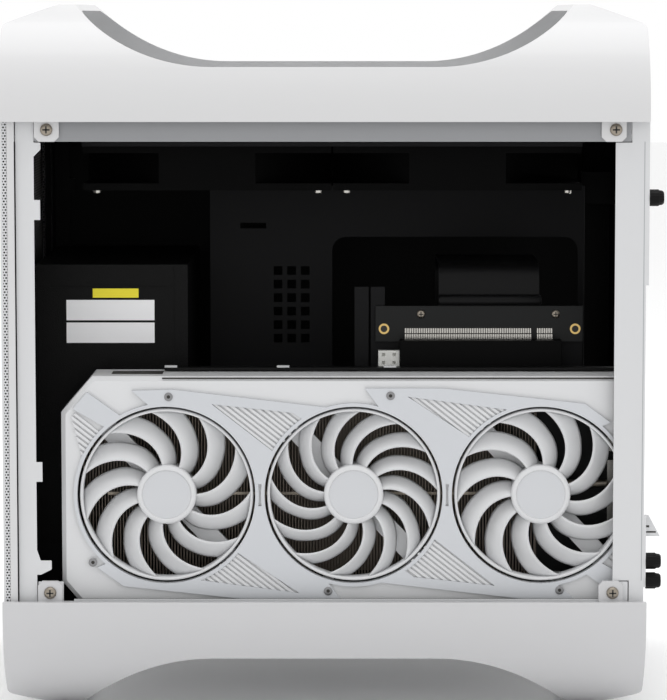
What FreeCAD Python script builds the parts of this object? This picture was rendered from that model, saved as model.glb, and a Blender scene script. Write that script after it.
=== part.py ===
import FreeCAD, Part
import math
import os

V = FreeCAD.Vector
X = V(1, 0, 0)
Y = V(0, 1, 0)
Z = V(0, 0, 1)
SIDES = (-1, 1)

# Micro-ATX computer case, left side panel off, with its power supply and graphics card fitted.
# Millimetres. X runs front to rear, Y left to right, Z up from the ground under the feet.

# Whole case
CASE_D = 356.0          # shells, front to rear
CASE_W = 250.0          # shells, side to side
CASE_H = 396.0          # ground to the top of the handles
REAR_REACH = 8.6        # thumb screws stand this far behind the shells

# Moulded shells: the upper one forms two handles, the lower one two feet
SHELL_WALL = 3.5
SHELL_CORNER = 60.0     # rounding from side to top
TOP_SKIRT = 64.0        # height of the upper shell
BOTTOM_SKIRT = 66.8     # height of the lower shell
SHELL_DIP = 34.3        # the side sinks this far between the handles
DIP_FLAT = 124.0        # level stretch of the dip
HANDLE_FLAT = 9.6       # level strip along a handle or foot
SLOPE_RUN = 29.0        # slope from that strip to the end of the shell
SLOPE_DROP = 11.0
SHELL_END_R = 4.0
TAB_W = 13.6            # screw tabs that hold the shells to the steel frame
TAB_REACH = 11.0        # tab beyond the shell's edge
TAB_GRIP = 13.0         # tab behind the shell's wall
TAB_T = 2.0
TAB_CUT = 2.5           # corners cut off a tab
TAB_FRONT_IN = 26.0     # tab centre from the shell's front end
TAB_REAR_IN = 19.4      # tab centre from the shell's rear end

# Steel frame
SHEET = 1.0
SIDE_RECESS = 8.0       # frame side behind the shell side
FRONT_SETBACK = 8.6     # front plate behind the shells' front end
REAR_SETBACK = 1.1      # rear plate inside the shells' rear end
FLOOR_LIFT = 42.0       # ground to the underside of the floor plate
RAIL_H = 24.0           # height of the top rail
POST_FRONT_W = 10.2
POST_REAR_W = 17.2
POST_NOTCH_W = 9.0      # notch in a rear post round the screw tab
FLANGE_GAP = 0.5        # between neighbouring folded edges
LIP_H = 25.5            # floor lip along the open side
LIP_FRONT_IN = 30.4
LIP_REAR_IN = 24.9
WINDOW_R = 8.0          # rounding of the tray's window
FRONT_WINDOW_IN = 19.0  # intake window from the frame sides
FRONT_WINDOW_DOWN = 26.0  # from the top of the rails
FRONT_WINDOW_UP = 36.0  # above the floor plate
HOOK_W = 8.0            # panel hooks on the front post
HOOK_H = 8.0
HOOK_SLOPE = 6.0
BROW = 3.8              # stop under the top rail
HOOK_UP = 38.0          # lower hook above the floor plate
CATCH_W = 3.4           # square catches on the front post
CATCH_H = 11.0
CATCH_UP = 90.0         # lower catch above the floor plate
CATCH_DOWN = 43.0       # upper catch below the top rail

# Motherboard tray
TRAY_Y = 5.0            # left face of the tray, right of the middle plane
TRAY_PSU_GAP = 10.0     # front edge behind the power supply
TRAY_REAR_IN = 24.9     # tray's rear edge from the outer face of the rear plate
TRAY_UNDER_FANS = 1.2   # top edge below the top fans
TRAY_FOOT = 12.0        # folded foot on the floor plate
TRAY_WINDOW_L = 144.0
TRAY_WINDOW_OVER = 9.5  # window above the riser ribbon
TRAY_WINDOW_REAR_IN = 4.0
TRAY_WINDOW_UP = 77.0
TRAY_SLOT_L = 15.0
TRAY_SLOT_H = 3.0
TRAY_SLOT_IN = 18.0
TRAY_SLOT_DOWN = 25.0
VENT_COLS = 3           # square vent holes beside the window
VENT_ROWS = 6
VENT_PITCH = 8.0
VENT_R = 2.5            # half of a vent hole
VENT_IN = 16.0          # last column of vents from the window
VENT_DOWN = 50.0

# Rear plate openings
REAR_FAN_BOLTS = 82.5   # bolt spacing of the rear fan place
REAR_FAN_HOLE_R = 2.2
REAR_FAN_UP = 212.0     # centre above the floor plate
REAR_FAN_SIDE_IN = 62.0  # centre from the left side of the frame
REAR_VENT_R = 43.0
REAR_VENT_SLOT = 7.0
REAR_VENT_RIB = 4.0
REAR_VENT_BAR = 5.0
IO_W = 44.5             # board connector opening
IO_H = 158.8
IO_IN = 5.0             # from the tray
IO_OVER = 6.0           # above the highest expansion slot
SLOT_PITCH = 20.32      # expansion slots
SLOT_COUNT = 4
SLOT_W = 13.0
SLOT_L = 86.0
SLOT_UP = 10.0
COVER_OVER = 2.5        # slot covers overlap their openings by this much
INLET_W = 28.0          # mains inlet
INLET_H = 20.5
INLET_DEPTH = 22.0
INLET_FLANGE = 4.0
INLET_DOWN = 46.0       # foot of the inlet below the top rail
INLET_IN = 14.0         # from the right side of the frame
INLET_PIN_W = 2.0
INLET_PIN_H = 4.0
INLET_PIN_OUT = 6.4     # outer pins from the middle

# Rear thumb screws
THUMB_R = 4.7
THUMB_SIDES = 18        # flats of the grip
THUMB_Y_IN = 3.6        # from the left side of the frame
THUMB_UPS = (34.3, 45.3, 247.0)
HEM_T = 1.6             # folded hem on the rear plate's open edge
HEM_W = 6.6
HEM_UP = 199.0          # above the floor plate
CLAMP_TAB = 9.5         # clamp plate that holds the card's bracket
CLAMP_T = 1.2
CLAMP_W = 6.6
CLAMP_TAB_H = 12.0
CLAMP_UP = 31.0
CLAMP_H = 39.7
CLAMP_TAB_TOP = 3.0     # short upper edge of the tab

# Front and top covers
FRAME_T = 4.2           # moulded frame of the front cover
FRAME_BORDER = 12.0
FRAME_GAP = 0.4         # between front cover and steel plate
MESH_T = 1.0
MESH_RIM = 3.6          # mesh edge turned back over the frame
COVER_OVERHANG = 2.0    # front cover wider than the frame on each side
COVER_UP = 15.0         # front cover above the floor plate
COVER_DOWN = 5.0        # below the top of the rails
COVER_R = 5.0
PEG_W = 5.0             # clips of the front cover
TOP_MESH_L = 300.0
TOP_MESH_RIM = 3.0

# Right side panel with the buttons and ports
PANEL_GAP = 0.6         # to the shells' edges
PANEL_INSET = 1.0       # panel face inside the shell side
PANEL_RIM = 2.4         # turned edge along the shells
IO_X_IN = 46.0          # power button from the panel's front edge
IO_DOWN = 34.0          # row of buttons and ports below the panel's top
IO_PITCH = 21.0
POWER_HALF = 6.0        # half of a button's width
RESET_HALF = 3.0
BUTTON_PROUD = 0.8
BUTTON_FLANGE = 1.6
BUTTON_TRAVEL = 1.5
BUTTON_CLEAR = 0.3
BUTTON_STEM = 1.6
IO_BOARD_DEPTH = 11.4   # board behind the panel
IO_BOARD_T = 1.6
IO_BOARD_H = 27.0
IO_POST_R = 2.5         # half of a post's width
SWITCH_W = 6.0
USB_W = 14.2
USB_H = 6.8
USB_WALL = 0.6
USB_TONGUE = 1.8        # thickness of the tongue and its room to the sides
PORT_CLEAR = 0.3

# Top fans
TOP_FAN = 140.0
TOP_FAN_T = 25.0
TOP_FAN_PITCH = 141.0
TOP_FAN_MID = 4.2       # middle of the pair behind the middle of the case
TOP_FAN_DROP = 4.3      # fans below the top plate
TOP_FAN_R = 66.5        # duct
TOP_FAN_FLANGE = 4.0
TOP_FAN_RING = 2.2      # wall of the duct
TOP_DUCT_SIDES = 36     # flat sides of the duct
TOP_HUB_R = 22.0
TOP_BLADES = 9
TOP_SWEEP = 30.0        # degrees the blades lean forward at their tips
TOP_BLADE_GAP = 10.0    # degrees open between blades
TOP_TIP_GAP = 1.2
TOP_STRUTS = 4
TOP_STRUT = 6.0
TOP_STRUT_TURN = 45.0   # angle of the first strut
BRACKET_LAND = 6.0      # fan bracket under each edge of a fan
BRACKET_SIDE = 6.0      # fan bracket wider than the fans on each side

# Running fit of the fan shafts
SHAFT_R = 2.0
SHAFT_FIT = 0.05
END_PLAY = 0.3
SEAT_SIDES = 16         # flat sides of a motor seat
SWEEP_POWER = 1.6       # how the lean grows along a blade
BLADE_LIFT = 0.2        # blades clear of the rotor's back and front faces
PLAIN_STEPS = 1         # straight stretches along a blade of the larger fans
BLADE_CROWN = 0.6       # height of a blade's middle line, as a share of its height

# Power supply
PSU_L = 86.0
PSU_W = 150.0
PSU_H = 160.0
PSU_FRONT_IN = 5.4      # from the outer face of the front plate
PSU_CARD_GAP = 1.0      # behind the card
PSU_UP = 46.0           # above the floor plate
PSU_WALL = 1.2
PSU_SEAM = 0.8
PSU_SEAM_IN = 8.0
PSU_GROOVE_DOWN = 12.0
PSU_FAN_R = 58.0
PSU_HUB_R = 19.0
PSU_BLADES = 7
PSU_FAN_T = 20.0
PSU_MOTOR_T = 4.0
PSU_GRILLE_T = 1.4
PSU_MOUTH_SIDES = 24    # flat sides of the fan opening and its guard
PSU_GRILLE_BAR = 2.4
LABEL_T = 0.2
LABEL_L = 50.0          # white labels
LABEL_H = 11.6
LABEL_PITCH = 12.9
LABEL_FRONT_IN = 17.1
LABEL_DOWN = 20.1
TAG_L = 26.0            # yellow label
TAG_H = 5.2
TAG_IN = 15.0
STAND_LEG = 14.0

# Graphics card, its face turned to the open side
CARD_ROOM = 23.3        # card behind the front plate
CARD_H = 135.0
CARD_T = 51.6           # shroud face to backplate
CARD_SIDE_IN = 5.0      # shroud face inside the frame side
CARD_LIFT = 12.8        # above the floor plate
CARD_NOSE_H = 20.0      # corners cut off the shroud's front end
CARD_NOSE_L = 17.2
SHROUD_REAR_IN = 3.0
SHROUD_SKIN = 3.0
SHROUD_PLATE = 1.6      # raised plates on the face
SHROUD_WALL = 2.0
SHROUD_DEPTH = 34.0
SHROUD_BEVEL = 2.6
FAN_FRONT_IN = 6.35     # card's front end to the first fan's share of its length
FAN_REAR_IN = 3.95      # bracket to the last fan's share
FAN_UP = 69.0           # fan centres above the card's lower edge
FAN_COUNT = 3
FAN_BETWEEN = 5.1       # between neighbouring openings
FAN_LIP = 2.0           # raised lip round an opening
FAN_DUCT = 13.0         # fan carriers behind the face
ROTOR_GAP = 1.3         # dark groove between opening and rotor ring
ROTOR_RING = 1.5
ROTOR_T = 10.5
ROTOR_SET = 1.2         # rotor below the raised plates
HUB_R = 16.5
HUB_WALL = 1.6
FAN_BLADES = (11, 13, 11)
FAN_MIRRORED = (False, True, False)
FAN_SWEEP = 35.0
FAN_BLADE_GAP = 12.0
RING_SIDES = 3          # flat sides of the rotor ring for each blade
BLADE_T = 0.9
FAN_BLADE_STEPS = 2     # straight stretches along a blade
CARRIER_T = 3.0
CARRIER_ARMS = 2
CARRIER_ARM_W = 11.0
CARRIER_TURN = -47.0    # angle of the first arm
CARRIER_FOOT = 4.0      # arm beyond the opening
FIN_PITCH = 8.0
FIN_T = 2.0
FIN_H = 98.0
FIN_REAR_IN = 50.0      # fins from the bracket
FIN_DEPTH = 15.0
FIN_POST_GAP = 3.7      # fins behind the first post
BASE_T = 4.0
BOARD_T = 1.6
BOARD_INSET = 6.0       # card's board inside the shroud outline
BACKPLATE_T = 2.0
BACKPLATE_GAP = 4.0
BOSS_R = 3.0            # half of a post's width
FACE_PITCH = 103.9      # fan spacing for which the screws and plates of the face are drawn
FIRST_POST = -144.9
SHROUD_SCREWS = ((-102.5, 54.9), (FIRST_POST, -37.7), (20.4, 55.5), (-14.2, -53.8), (114.5, -53.3))
RIB_PITCH = 5.0
RIB_W = 1.5
RIB_H = 1.0
TOP_BAR_H = 1.6         # bar along the card's top edge
TOP_BAR_Y = 9.0
TOP_BAR_IN = 22.0       # bar behind the shroud's bevel
TOP_BAR_GAP = 0.6
TOP_CLIP_L = 7.0
TOP_CLIP_H = 1.0
TOP_CLIPS = (-106.0, -43.0, 17.0)
CARD_BRACKET_T = 1.0
CARD_BRACKET_H = 116.0
CARD_BRACKET_UP = 6.0
CARD_BRACKET_EDGE = 3.0  # bracket overlaps its window by this much
PORT_W = 17.0
PORT_H = 6.6
PORT_DEPTH = 16.0
PORT_WALL = 0.9
PORT_PITCH = 22.0
PORT_COUNT = 4
HEADER_L = 12.0
HEADER_H = 9.2
HEADER_T = 4.4
HEADER_STEM = 3.0
HEADER_IN = 1.5
HEADER_HOLE = 1.8

# Riser that joins the card to the motherboard
RISER_L = 117.7
RISER_H = 36.6
RISER_T = 1.5
RISER_LAP = 1.5         # board behind the top of the slot
RISER_REAR_IN = 29.5    # from the inner face of the rear plate
SLOT_BODY_L = 91.4
SLOT_BODY_H = 17.9
SLOT_BODY_T = 11.0
SLOT_FRONT_IN = 13.7
SLOT_LOW = 1.8          # slot reaches this far below the card's top
SLOT_DEPTH = 9.0
TONGUE_L = 86.0
TONGUE_FIT = 0.2
PIN_PITCH = 4.4
PIN_W = 1.8
PIN_H = 6.2
STAY_NOTCH = 40.0       # split between the stay's two tongues, below the riser's top
RIBBON_L = 57.0
RIBBON_T = 1.1
RIBBON_FRONT_IN = 35.8
RIBBON_BEND = 10.0
RIBBON_BEND_MOST = 0.8  # bend as a share of the ribbon's rise, at most
RIBBON_RISE = 0.37      # share of the way from riser to tray top
RIBBON_FAR = 7.0        # ribbon drops this far behind the tray
PLUG_L = 90.0
PLUG_T = 12.0
PLUG_H = 20.0
PLUG_UNDER = 2.0        # plug below the tray window
STAY_T = 1.2            # sheet bracket that carries the riser
STAY_STRIP = 8.0
STAY_SPLIT = 1.2
STAY_FRONT_OUT = 11.9
STAY_RISE = 10.8
STAY_FOOT = 16.0

TINY = 0.01             # for finding edges by their place

# Places worked out from the sizes above
MID_X = -REAR_REACH / 2
SHELL_FRONT = MID_X - CASE_D / 2
SHELL_REAR = MID_X + CASE_D / 2
SIDE_Y = CASE_W / 2 - SIDE_RECESS
FRONT_X = SHELL_FRONT + FRONT_SETBACK
REAR_X = SHELL_REAR - REAR_SETBACK
FRONT_IN = FRONT_X + SHEET
REAR_IN = REAR_X - SHEET
FLOOR_Z = FLOOR_LIFT + SHEET
TOP_EDGE = CASE_H - TOP_SKIRT
RAIL_Z = TOP_EDGE - TAB_REACH
RAIL_TOP = RAIL_Z + RAIL_H
EAR_TOP = BOTTOM_SKIRT + TAB_REACH - FLANGE_GAP
FLANGE_FRONT = FRONT_X + POST_FRONT_W + FLANGE_GAP
FLANGE_REAR = REAR_X - POST_REAR_W + POST_NOTCH_W - FLANGE_GAP
TAB_XS = (SHELL_FRONT + TAB_FRONT_IN, SHELL_REAR - TAB_REAR_IN)

TOP_FAN_Z = RAIL_Z - TOP_FAN_DROP - TOP_FAN_T
TOP_FAN_XS = tuple(MID_X + TOP_FAN_MID + k * TOP_FAN_PITCH / 2 for k in SIDES)

TRAY_REAR = REAR_X - TRAY_REAR_IN
TRAY_TOP = TOP_FAN_Z - TRAY_UNDER_FANS
TRAY_BACK = TRAY_Y + SHEET

PSU_X = FRONT_X + PSU_FRONT_IN
TRAY_FRONT = PSU_X + PSU_L + TRAY_PSU_GAP
PSU_Z = FLOOR_Z + PSU_UP
PSU_TOP = PSU_Z + PSU_H
PSU_FAN_Z = PSU_Z + PSU_H / 2

CARD_FACE = -SIDE_Y + CARD_SIDE_IN
CARD_Z = FLOOR_Z + CARD_LIFT
CARD_TOP = CARD_Z + CARD_H
CARD_FRONT = FRONT_X + CARD_ROOM
CARD_BACK = CARD_FACE + CARD_T
PSU_Y = CARD_BACK + PSU_CARD_GAP
PSU_FAN_Y = PSU_Y + PSU_W / 2
SHROUD_FACE = CARD_FACE + SHROUD_PLATE
SHROUD_REAR = REAR_IN - SHROUD_REAR_IN
FAN_Z = CARD_Z + FAN_UP
FAN_PITCH = (REAR_IN - FAN_REAR_IN - CARD_FRONT - FAN_FRONT_IN) / FAN_COUNT
FAN_R = (FAN_PITCH - FAN_BETWEEN) / 2
FACE_SCALE = FAN_PITCH / FACE_PITCH
FAN_XS = tuple(CARD_FRONT + FAN_FRONT_IN + (k + 0.5) * FAN_PITCH for k in range(FAN_COUNT))
MID_FAN = FAN_XS[FAN_COUNT // 2]
ROTOR_FRONT = CARD_FACE + ROTOR_SET
ROTOR_BACK = ROTOR_FRONT + ROTOR_T
DUCT_BACK = SHROUD_FACE + FAN_DUCT
BOARD_BACK = CARD_BACK - BACKPLATE_T - BACKPLATE_GAP
BOARD_FACE = BOARD_BACK - BOARD_T
BASE_FACE = BOARD_FACE - BASE_T
FIN_FRONT = BASE_FACE - FIN_DEPTH
FIN_X = MID_FAN + FIRST_POST * FACE_SCALE + BOSS_R + FIN_POST_GAP
FIN_COUNT = int((REAR_IN - FIN_REAR_IN - FIN_X) / FIN_PITCH)
BOARD_TOP = CARD_TOP - SLOT_LOW - TONGUE_FIT

SLOT_Z = CARD_TOP - SLOT_LOW
SLOT_TOP = SLOT_Z + SLOT_BODY_H
RISER_REAR = REAR_IN - RISER_REAR_IN
RISER_FRONT = RISER_REAR - RISER_L
RISER_Y = CARD_BACK + FLANGE_GAP - RISER_T
RISER_TOP = SLOT_Z + RISER_H
SLOT_X = RISER_FRONT + SLOT_FRONT_IN
TONGUE_X = SLOT_X + (SLOT_BODY_L - TONGUE_L) / 2
RIBBON_X = RISER_FRONT + RIBBON_FRONT_IN
STAY_Y = RISER_Y + RISER_T
STAY_FRONT = RISER_FRONT - STAY_FRONT_OUT
TRAY_WINDOW_X = TRAY_REAR - TRAY_WINDOW_REAR_IN - TRAY_WINDOW_L
TRAY_WINDOW_Z = FLOOR_Z + TRAY_WINDOW_UP
RIBBON_TOP = RISER_TOP + RIBBON_RISE * (TRAY_TOP - RISER_TOP)
TRAY_WINDOW_TOP = RIBBON_TOP + RIBBON_T + TRAY_WINDOW_OVER

FRAME_BACK = FRONT_X - FRAME_GAP
FRAME_FRONT = FRAME_BACK - FRAME_T
PANEL_OUT = CASE_W / 2 - PANEL_INSET
PANEL_IN = PANEL_OUT - SHEET
PANEL_LOW = BOTTOM_SKIRT + PANEL_GAP
PANEL_HIGH = TOP_EDGE - PANEL_GAP
IO_Z = PANEL_HIGH - IO_DOWN
POWER_X = FRONT_X + IO_X_IN
RESET_X = POWER_X + IO_PITCH
USB_XS = (RESET_X + IO_PITCH, RESET_X + 2 * IO_PITCH)
IO_BOARD_Y = PANEL_IN - IO_BOARD_DEPTH


# Drawing helpers

def on_xz(y):
    return lambda p: V(p.x, y, p.y)


def on_yz(x):
    return lambda p: V(x, p.x, p.y)


def on_xy(z):
    return lambda p: V(p.x, p.y, z)


def block(x0, x1, y0, y1, z0, z1):
    return Part.makeBox(x1 - x0, y1 - y0, z1 - z0, V(x0, y0, z0))


def rod(radius, start, axis, length):
    return Part.makeCylinder(radius, length, start, axis)


def corner_cut(before, here, after, radius):
    """Start, middle and end of the arc that rounds one corner of an outline."""
    back = (before - here).normalize()
    ahead = (after - here).normalize()
    half = back.getAngle(ahead) / 2
    run = radius / math.tan(half)
    middle = here + (back + ahead).normalize() * (radius / math.sin(half) - radius)
    return here + back * run, middle, here + ahead * run


def outline(corners, place):
    """Closed wire through (u, v) or (u, v, radius) corners, drawn where place puts it."""
    flat = [V(c[0], c[1], 0) for c in corners]
    pieces = []
    for i, corner in enumerate(corners):
        here = flat[i]
        after = flat[(i + 1) % len(flat)]
        if len(corner) == 3:
            pieces.append(corner_cut(flat[i - 1], here, after, corner[2]))
        else:
            pieces.append((here, None, here))
    edges = []
    for i, (start, middle, end) in enumerate(pieces):
        if middle is not None:
            edges.append(Part.Arc(place(start), place(middle), place(end)).toShape())
        following = pieces[(i + 1) % len(pieces)][0]
        edges.append(Part.LineSegment(place(end), place(following)).toShape())
    return Part.Wire(edges)


def oblong(u0, u1, v0, v1, radius=0):
    """Corners of a rectangle, rounded if a radius is given."""
    corners = ((u0, v0), (u1, v0), (u1, v1), (u0, v1))
    if radius:
        return [(u, v, radius) for u, v in corners]
    return list(corners)


def ring_wire(u, v, radius, place):
    centre = place(V(u, v, 0))
    normal = (place(V(1, 0, 0)) - place(V(0, 0, 0))).cross(place(V(0, 1, 0)) - place(V(0, 0, 0)))
    return Part.Wire(Part.makeCircle(radius, centre, normal))


def many_sided(sides, radius, z):
    """Regular outline on the Z axis, close to a circle."""
    turn = 2 * math.pi / sides
    corners = [(radius * math.cos(k * turn), radius * math.sin(k * turn)) for k in range(sides)]
    return outline(corners, on_xy(z))


def sheet(outer, holes, along):
    """Flat plate: an outline with holes, given thickness along a vector."""
    face = Part.makeFace([outer] + holes, "Part::FaceMakerBullseye")
    return face.extrude(along)


def fused(shapes):
    whole = shapes[0].multiFuse(shapes[1:])
    return whole.removeSplitter()


def group(shapes):
    return Part.makeCompound(shapes)


def mirror_y(shape):
    return shape.mirror(V(0, 0, 0), Y)


# Shells

def shell_section(wall, skirt):
    """U section of a shell, ground side down, wall thickness taken off all round."""
    half = CASE_W / 2 - wall
    radius = SHELL_CORNER - wall
    return outline(
        [(-half, skirt), (-half, wall, radius), (half, wall, radius), (half, skirt)],
        on_yz(SHELL_FRONT))


def dip_arc(sign):
    """Concave run from the dip's level stretch up to a handle, seen from the side."""
    handle = CASE_D / 2 - SLOPE_RUN - HANDLE_FLAT
    run = handle - DIP_FLAT / 2
    radius = (run * run + SHELL_DIP * SHELL_DIP) / (2 * SHELL_DIP)
    turn = math.asin(run / radius) / 2
    middle = DIP_FLAT / 2 + radius * math.sin(turn)
    low = SHELL_DIP - radius * (1 - math.cos(turn))
    return [(sign * handle, 0), (sign * middle, low), (sign * DIP_FLAT / 2, SHELL_DIP)]


def shell_side(skirt):
    """Side view of a shell, feet down, as one closed face."""
    place = on_xz(-CASE_W / 2)
    half = CASE_D / 2

    def at(u, v):
        return place(V(MID_X + u, v, 0))

    front = [at(u, v) for u, v in dip_arc(-1)]
    rear = [at(u, v) for u, v in reversed(dip_arc(1))]
    heel = half - SLOPE_RUN
    end_f = corner_cut(V(-half, skirt, 0), V(-half, SLOPE_DROP, 0), V(-heel, 0, 0), SHELL_END_R)
    corner_f = [at(p.x, p.y) for p in end_f]
    corner_r = [at(-p.x, p.y) for p in reversed(end_f)]
    edges = [
        Part.LineSegment(at(-half, skirt), corner_f[0]),
        Part.Arc(*corner_f),
        Part.LineSegment(corner_f[2], at(-heel, 0)),
        Part.LineSegment(at(-heel, 0), front[0]),
        Part.Arc(*front),
        Part.LineSegment(front[2], rear[0]),
        Part.Arc(*rear),
        Part.LineSegment(rear[2], at(heel, 0)),
        Part.LineSegment(at(heel, 0), corner_r[0]),
        Part.Arc(*corner_r),
        Part.LineSegment(corner_r[2], at(half, skirt)),
        Part.LineSegment(at(half, skirt), at(-half, skirt)),
    ]
    return Part.Face(Part.Wire([edge.toShape() for edge in edges]))


def shell_tab(x, skirt):
    """Screw tab on the left side: a flat tongue held to the shell's wall by a block."""
    low = skirt - TAB_GRIP
    high = skirt + TAB_REACH
    half = TAB_W / 2
    near = half - TAB_CUT
    corners = [(x - half, low), (x + half, low), (x + half, high - TAB_CUT), (x + near, high),
               (x - near, high), (x - half, high - TAB_CUT)]
    tongue = sheet(outline(corners, on_xz(-SIDE_Y - TAB_T)), [], Y * TAB_T)
    wall_in = -CASE_W / 2 + SHELL_WALL / 2
    foot = block(x - half, x + half, wall_in, -SIDE_Y, low, skirt - FLANGE_GAP)
    return tongue.fuse(foot)


def shell(skirt):
    """One shell with its feet on the ground."""
    section = sheet(shell_section(0, skirt), [], X * CASE_D)
    inside = sheet(shell_section(SHELL_WALL, skirt), [], X * CASE_D)
    side = shell_side(skirt).extrude(Y * CASE_W)
    tabs = [shell_tab(x, skirt) for x in TAB_XS]
    return fused([section.cut(inside).common(side)] + tabs + [mirror_y(t) for t in tabs])


def bottom_shell():
    return shell(BOTTOM_SKIRT)


def top_shell():
    return shell(TOP_SKIRT).mirror(V(0, 0, CASE_H / 2), Z)


# Steel frame

def side_flange(corners, sign):
    place = on_xz(min(sign * SIDE_Y, sign * (SIDE_Y - SHEET)))
    return sheet(outline(corners, place), [], Y * SHEET)


def bottom_plate():
    inner = SIDE_Y - SHEET
    web = block(FRONT_IN, REAR_IN, -inner, inner, FLOOR_LIFT, FLOOR_Z)
    low = FLOOR_LIFT
    lip = FLOOR_LIFT + LIP_H
    hidden = BOTTOM_SKIRT - FLANGE_GAP
    ear = TAB_W + FLANGE_GAP
    front_ear = FLANGE_FRONT + ear
    rear_ear = FLANGE_REAR - ear
    corners = [
        (FLANGE_FRONT, low), (FLANGE_REAR, low), (FLANGE_REAR, EAR_TOP), (rear_ear, EAR_TOP),
        (rear_ear, hidden), (REAR_X - LIP_REAR_IN, hidden), (REAR_X - LIP_REAR_IN, lip),
        (FRONT_X + LIP_FRONT_IN, lip), (FRONT_X + LIP_FRONT_IN, hidden), (front_ear, hidden),
        (front_ear, EAR_TOP), (FLANGE_FRONT, EAR_TOP)]
    return fused([web] + [side_flange(corners, sign) for sign in SIDES])


def top_plate():
    """Top of the frame: a web with the fan window, folded up into a rail on each side."""
    inner = SIDE_Y - SHEET
    place = on_xy(RAIL_Z)
    mid = sum(TOP_FAN_XS) / 2
    reach = TOP_FAN_PITCH / 2 + TOP_FAN_R
    window = outline(oblong(mid - reach, mid + reach, -TOP_FAN_R, TOP_FAN_R), place)
    web = sheet(outline(oblong(FRONT_IN, REAR_IN, -inner, inner), place), [window], Z * SHEET)
    corners = oblong(FLANGE_FRONT, FLANGE_REAR, RAIL_Z, RAIL_TOP)
    return fused([web] + [side_flange(corners, sign) for sign in SIDES])


def front_hooks():
    """Hooks and catches on the front post that hold the side panel."""
    edge = FRONT_X + POST_FRONT_W
    out = edge + HOOK_W
    low = FLOOR_Z + HOOK_UP
    hook = [(edge, low), (out - HOOK_SLOPE, low), (out, low + HOOK_SLOPE / 2),
            (out, low + HOOK_H), (out - HOOK_SLOPE, low + HOOK_H), (edge, low + HOOK_H + HOOK_SLOPE)]
    top = RAIL_Z - FLANGE_GAP
    brow = [(edge, top - BROW * 2), (edge + BROW, top - BROW), (edge + BROW, top), (edge, top)]
    catch_zs = (FLOOR_Z + CATCH_UP, RAIL_Z - CATCH_DOWN)
    catches = [oblong(edge, edge + CATCH_W, z, z + CATCH_H) for z in catch_zs]
    return [hook, brow] + catches


def front_plate():
    window_z = FLOOR_Z + FRONT_WINDOW_UP
    half = SIDE_Y - FRONT_WINDOW_IN
    place = on_yz(FRONT_X)
    window = outline(oblong(-half, half, window_z, RAIL_TOP - FRONT_WINDOW_DOWN), place)
    web = sheet(outline(oblong(-SIDE_Y, SIDE_Y, FLOOR_LIFT, RAIL_TOP), place), [window], X * SHEET)
    post = oblong(FRONT_X, FRONT_X + POST_FRONT_W, FLOOR_LIFT, RAIL_TOP)
    flats = [side_flange(corners, sign) for sign in SIDES for corners in [post] + front_hooks()]
    return fused([web] + flats)


def vent_slots(y, z):
    """Level slots of the rear vent, clipped to a circle and split by a middle bar."""
    step = REAR_VENT_SLOT + REAR_VENT_RIB
    count = int(REAR_VENT_R / step)
    place = on_yz(REAR_IN)
    slots = []
    for k in range(-count, count + 1):
        reach = abs(k * step) + REAR_VENT_SLOT / 2
        if reach >= REAR_VENT_R:
            continue
        wide = math.sqrt(REAR_VENT_R ** 2 - reach ** 2)
        for sign in SIDES:
            ends = sorted((sign * REAR_VENT_BAR / 2, sign * (wide + REAR_VENT_BAR / 2)))
            level = z + k * step
            low = level - REAR_VENT_SLOT / 2
            corners = oblong(y + ends[0], y + ends[1], low, low + REAR_VENT_SLOT)
            slots.append(outline(corners, place))
    return slots


def slot_windows(grow):
    """Outlines of the expansion slots, each made larger by grow on every side."""
    low = TRAY_BACK + IO_IN
    rows = []
    for k in range(SLOT_COUNT):
        z = FLOOR_Z + SLOT_UP + k * SLOT_PITCH
        rows.append(oblong(low - grow, low + SLOT_L + grow, z - grow, z + SLOT_W + grow))
    return rows


def slots_top():
    """Upper edge of the highest expansion slot."""
    return FLOOR_Z + SLOT_UP + (SLOT_COUNT - 1) * SLOT_PITCH + SLOT_W


def inlet_window(grow):
    y1 = SIDE_Y - INLET_IN
    z0 = RAIL_Z - INLET_DOWN
    return oblong(y1 - INLET_W - grow, y1 + grow, z0 - grow, z0 + INLET_H + grow)


def card_window(shrink):
    """Opening behind the card's bracket, or the bracket itself when shrink is 0."""
    low = CARD_Z + CARD_BRACKET_UP
    return oblong(CARD_FACE + shrink, CARD_BACK - shrink, low + shrink, low + CARD_BRACKET_H - shrink)


def rear_fan_centre():
    return -SIDE_Y + REAR_FAN_SIDE_IN, FLOOR_Z + REAR_FAN_UP


def thumb_places():
    return [(-SIDE_Y + THUMB_Y_IN, FLOOR_Z + up) for up in THUMB_UPS]


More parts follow.
